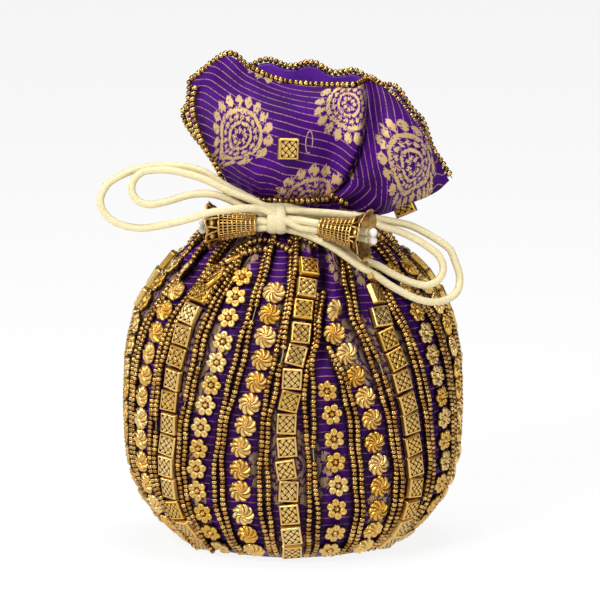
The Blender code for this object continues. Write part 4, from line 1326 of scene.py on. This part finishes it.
knotCentre = np.array((-7.3, -32.4, 152.9))


# A place on a cone's axis, moved sideways to where one of its two strands runs
def conePlace(ends, distance, offset=0.0):
    small, rim = np.array(ends)
    way = unit(rim - small)
    return small + way * distance + unit(np.cross(way, [0.0, 1.0, 0.2])) * offset


# eases the places where a line bends more tightly than the cord can
def easeBends(line, tightest):
    line = evenLine(line, len(line))
    for _ in range(400):
        sides = line[3:-3] - line[:-6], line[6:] - line[3:-3], line[6:] - line[:-6]
        area = np.linalg.norm(np.cross(sides[0], sides[1]), axis=1)
        radius = np.prod([np.linalg.norm(side, axis=1) for side in sides], axis=0) / np.maximum(2 * area, 1e-6)
        tight = np.flatnonzero(radius < tightest) + 3
        if not len(tight):
            break
        moved = np.zeros((len(line), 1), bool)
        for i in tight:
            moved[max(i - 4, 2):min(i + 5, len(line) - 2)] = True
        smooth = line.copy()
        smooth[1:-1] = (line[:-2] + line[2:]) / 2
        line = np.where(moved, 0.5 * line + 0.5 * smooth, line)
    return line


# a tube along a line, mapped round and along in millimetres
def sweep(name, line, radius, sides, squash=1.0, closed=False, wide=(0.1, 0.2, 1.0)):
    line = np.asarray(line)
    along = np.roll(line, -1, axis=0) - np.roll(line, 1, axis=0) if closed else np.gradient(line, axis=0)
    normal = unit(wide) if closed else unit(np.cross(along[0], wide))
    points, uv = [], []
    for spot, forward, length in zip(line, along, runLengths(line)):
        forward = unit(forward)
        normal = squareTo(normal, forward)
        other = np.cross(forward, normal)
        for j in range(sides + 1):
            a = fullTurn * j / sides
            points.append(spot + radius * (math.cos(a) * normal + squash * math.sin(a) * other))
            uv.append((j / sides, length))
    faces = [face[:1] + face[:0:-1] for face in gridFaces(0, len(line), sides + 1, False, closed)]
    if not closed:
        faces += [list(range(sides)), [(len(line) - 1) * (sides + 1) + j for j in range(sides)][::-1]]
    piece = meshPiece(name, points, faces, [satinCord], uv=uv)
    closeMesh(piece.data)
    return piece


# Each drawstring end runs out of the neck, through the knot, round its loop and back into a cone
def buildCords():
    made = []
    for name, start, loop, cone, offset, step, nodes in (
            ("cordLeftOuter", cords["exitRight"], leftOuter, rightCone, -1.66, -1.43, ["loop_left_outer"]),
            ("cordLeftInner", cords["exitRight"], leftInner, rightCone, 1.66, 1.43,
             ["loop_left_inner", "lead_right"]),
            ("cordRightOuter", cords["exitLeft"], rightOuter, leftCone, -1.66, 0.825, ["loop_right_outer"]),
            ("cordRightInner", cords["exitLeft"], rightInner, leftCone, 1.66, -0.825,
             ["loop_right_inner", "lead_left"])):
        start = np.array(start) + [0, 0, step]
        knotSide, leadIn = (1, (-10.8, -7.4)) if cone is rightCone else (-1, (-3.4,))
        run = [start, (knotCentre[0] + 4.6 * knotSide, -27.8, loop[0][2] - 1.2), *loop]
        run += [conePlace(cone, distance, offset) for distance in (*leadIn, 0.0, 8.0, coneLength + 0.3)]
        line = easeBends(smoothLine(run, 230), cords["tightest"])
        piece = sweep(name, line, cords["diameter"] / 2, cords["sides"])
        made.append((handOver(piece, "bag", "cream_satin", *nodes), line, start, cone, offset))
        print(name, round(float(runLengths(line)[-1])), "mm")
    return made


# two wraps of cord round the bundle, side by side and pulled flat
def buildKnot():
    wraps = []
    for x, across, up, lean, nodes in ((-1.7, 4.5, 5.1, 0.15, ["cord_knot"]), (1.7, 4.7, 5.3, -0.25, [])):
        line = [knotCentre + [x + lean * math.sin(a), across * math.cos(a), up * math.sin(a)]
                for a in [fullTurn * i / 48 for i in range(48)]]
        piece = sweep(f"knotWrap{len(wraps) + 1}", line, 2.6, 16, squash=0.58, closed=True, wide=(1.0, 0.0, 0.0))
        wraps.append(handOver(piece, "bag", "cream_satin", *nodes))
    return wraps


coneLook = {
    "small": 4.4,
    "rim": 12.2,
    "ribs": 30,
    "bands": 8,
    "petals": 8,
    "flareStart": 0.72,       # share of the length where the flared rim begins
    "stages": ((0.0, 0.0), (0.45, 0.22), (0.72, 0.42), (0.88, 0.68), (1.0, 1.0)),
}


def coneRadius(t, wide):
    share = np.interp(t, *np.array(coneLook["stages"]).T)
    return coneLook["small"] + float(share) * (wide - coneLook["small"])


# one rib with its foot in the dark wall, its length along y
def makeRib(wide):
    section = ((-0.28, 0.52, 0.3), (-0.16, 0.04, 0.9), (0.16, 0.04, 0.9), (0.28, 0.52, 0.3))
    stage = np.linspace(0.01, 0.745, 12)
    points = [[x, t * coneLength, coneRadius(t, wide) - drop] for t in stage for x, drop, level in section]
    faces = gridFaces(0, 12, 4, True, False) + [[3, 2, 1, 0], [44, 45, 46, 47]]
    return beadMesh("coneRib", points, faces, filigreeBrass, [level for t in stage for x, drop, level in section])


# one petal of the flared rim: an edge bead, two veins and a rosette stand up from a thin plate
def makePetal(wide):
    across, rise = 18, 12
    points, high = [], []
    for raised in (True, False):
        for i in range(rise + 1):
            s = i / rise if raised else 1 - i / rise
            for j in range(across + 1):
                a = (j / across - 0.5) * fullTurn / coneLook["petals"]
                lobe = abs(math.cos(coneLook["petals"] * a / 2))
                t = min(coneLook["flareStart"] + 0.28 * s * (0.80 + 0.20 * lobe ** 0.6), 1.0)
                edge = bump((s - 0.97) / 0.08) + bump((s - 0.03) / 0.06)
                vein = bump((lobe - (0.25 + 0.55 * s)) / 0.13)
                rosette = bump((lobe - 1.0) / 0.16) * bump((s - 0.55) / 0.10)
                ridge = min(1.0, edge + vein * 0.8 + rosette) if raised else 0.0
                r = coneRadius(t, wide) - 0.1 + (0.5 * ridge if raised else -0.45)
                points.append([r * math.sin(a), t * coneLength, r * math.cos(a)])
                high.append(0.1 + 0.9 * ridge if raised else 0.4)
    return beadMesh("conePetal", points, gridFaces(0, 2 * rise + 2, across + 1, False, True), filigreeBrass, high)


def buildCone(name, ends, rimScale, node, body):
    small, rim = np.array(ends)
    way = unit(rim - small)
    first = unit(np.cross(way, [0.0, 0.3, 1.0]))
    second = np.cross(way, first)
    wide, turns = coneLook["rim"] * rimScale, 48      # turns are places round a ring
    points, faces, high = [], [], []

    def spoke(j, count):
        return math.cos(fullTurn * j / count) * first + math.sin(fullTurn * j / count) * second

    def addRings(profile):
        faces.extend(gridFaces(len(points), len(profile), turns, True, True))
        points.extend([small + way * (t * coneLength) + r * spoke(j, turns)
                       for t, r, _ in profile for j in range(turns)])
        high.extend([level for _, _, level in profile for j in range(turns)])

    # the dark inner wall that shows between the wires, then the wire bands round it
    stage = np.linspace(0.0, 0.74, 10)
    addRings([(t, coneRadius(t, wide) - 0.5, 0.05) for t in stage]
             + [(t, coneRadius(t, wide) - 0.72, 0.05) for t in stage[::-1]])
    for b in range(coneLook["bands"] + 1):
        t = 0.015 + 0.73 * b / coneLook["bands"]
        fat = 0.42 if b in (0, coneLook["bands"]) else 0.28
        addRings([(t + 1.3 * fat / coneLength * math.sin(c), coneRadius(t, wide) - 0.14 + fat * math.cos(c),
                   0.75 + 0.25 * math.cos(c)) for c in np.arange(6) * math.pi / 3])
    pieces = [handOver(meshPiece(name, points, faces, [filigreeBrass], values={"high": high}), body,
                       "filigree_gold", node)]
    closeMesh(pieces[0].data)
    for label, part, count, merge in (("Ribs", makeRib(wide), coneLook["ribs"], 0.0),
                                      ("Rim", makePetal(wide), coneLook["petals"], 2e-5)):
        guide = [np.concatenate([small, spoke(j, count), way]) for j in range(count)]
        pieces.append(handOver(setBeadsAlong(name + label, guide, part, 51), body, "filigree_gold"))
        closeMesh(pieces[-1].data, merge)
    print(name, "built")
    return pieces


def buildPearl(name, centre, radius):
    mesh = bpy.data.meshes.new(name)
    work = bmesh.new()
    bmesh.ops.create_uvsphere(work, u_segments=20, v_segments=12, radius=radius * mm)
    bmesh.ops.translate(work, verts=work.verts, vec=Vector(centre) * mm)
    work.to_mesh(mesh)
    work.free()
    mesh.materials.append(whitePearl)
    mesh.polygons.foreach_set("use_smooth", [True] * len(mesh.polygons))
    return addObject(name, mesh)


studio = {
    "air": 0.22,              # strength of the light from all round
    "lamps": (                # place in m, size in m, power in W
        ("keyLight", (-0.75, -1.25, 1.15), 0.6, 22.0),
        ("fillLight", (1.05, -1.15, 0.55), 0.5, 5.5),
        ("topLight", (0.1, 0.0, 1.5), 0.7, 14.0),
        ("stripLight", (-1.2, 0.1, 0.4), 0.3, 4.0),
    ),
    "aim": (0.0, 0.0, 0.11),
}


# White floor: matt enough to hold a soft shadow, and white to the camera and in the metal's reflections
def paintFloor(node):
    path = node("LightPath").node.outputs
    seen = node("MAXIMUM", path["Is Camera Ray"], node("MAXIMUM", path["Is Glossy Ray"], path["Is Transmission Ray"]))
    return node("MixShader", node("MULTIPLY", seen, 0.88), node("BsdfDiffuse", (0.93, 0.93, 0.93, 1.0)),
                node("Emission", (1, 1, 1, 1), 1.0))


# a large key, a fill, a top light and a strip at the side over the floor
def buildStage():
    mesh = bpy.data.meshes.new("floor")
    mesh.from_pydata([(x, y, -0.0004) for x, y in ((-12, -6), (12, -6), (12, 30), (-12, 30))], [], [(0, 1, 2, 3)])
    mesh.materials.append(makeMaterial("whiteFloor", paintFloor))
    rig.stage(addObject("floor", mesh))

    world = bpy.data.worlds.new("studioAir")
    world.use_nodes = True
    world.node_tree.nodes.clear()
    node = partial(addNode, world.node_tree)
    height = node("SeparateXYZ", node("TexCoord", output="Generated"), output="Z")
    colour = node("colour", node("smooth", height, -0.1, 0.9), (0.30, 0.30, 0.31, 1.0), (1.0, 1.0, 1.0, 1.0))
    node("OutputWorld", node("Background", colour, studio["air"]))
    bpy.context.scene.world = world

    for name, place, size, power in studio["lamps"]:
        data = bpy.data.lights.new(name, "AREA")
        data.size, data.energy = size, power
        lamp = addObject(name, data)
        lamp.location = place
        lamp.rotation_euler = turnTo(place, studio["aim"])
    bpy.context.scene.view_settings.view_transform = "Standard"
    print("stage set")


def main():
    buildCamera()
    lines = buildCords()
    knot = buildKnot()
    caps = {rightCone: buildCone("coneCapRight", rightCone, 0.965, "cone_right", "right_cone"),
            leftCone: buildCone("coneCapLeft", leftCone, 0.87, "cone_left", "left_cone")}
    extras = {}
    for side, ends, nodes in (("Left", leftCone, ["pearls_left"]), ("Right", rightCone, ["pearls_right"])):
        low, high = [buildPearl(f"pearl{side}{label}", conePlace(ends, coneLength + 2.75, offset), 2.0)
                     for label, offset in (("Low", -1.95), ("High", 1.95))]
        extras[ends, False] = [handOver(low, "bag", "white_pearl", *nodes), *caps[ends]]
        extras[ends, True] = [handOver(high, "bag", "white_pearl")]
    for piece, line, start, cone, offset in lines:
        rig.cord(piece, exit=tuple(start * mm), length=float(runLengths(line)[-1]) * mm,
                diameter=cords["diameter"] * mm, far_end="fitting", stiffness="limp", lay="loose",
                path=[tuple(p * mm) for p in line],
                with_pieces=extras[cone, offset > 0] + (knot if piece is lines[0][0] else []))
    buildCloth()
    buildTrims(*buildStrands())
    buildStage()


main()
with open("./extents.json", "w") as sizeFile:
    json.dump({"cad": [list(map(float, corner)) for corner in cadBox],
               "visual": [list(map(float, corner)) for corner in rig.bounds()]}, sizeFile)
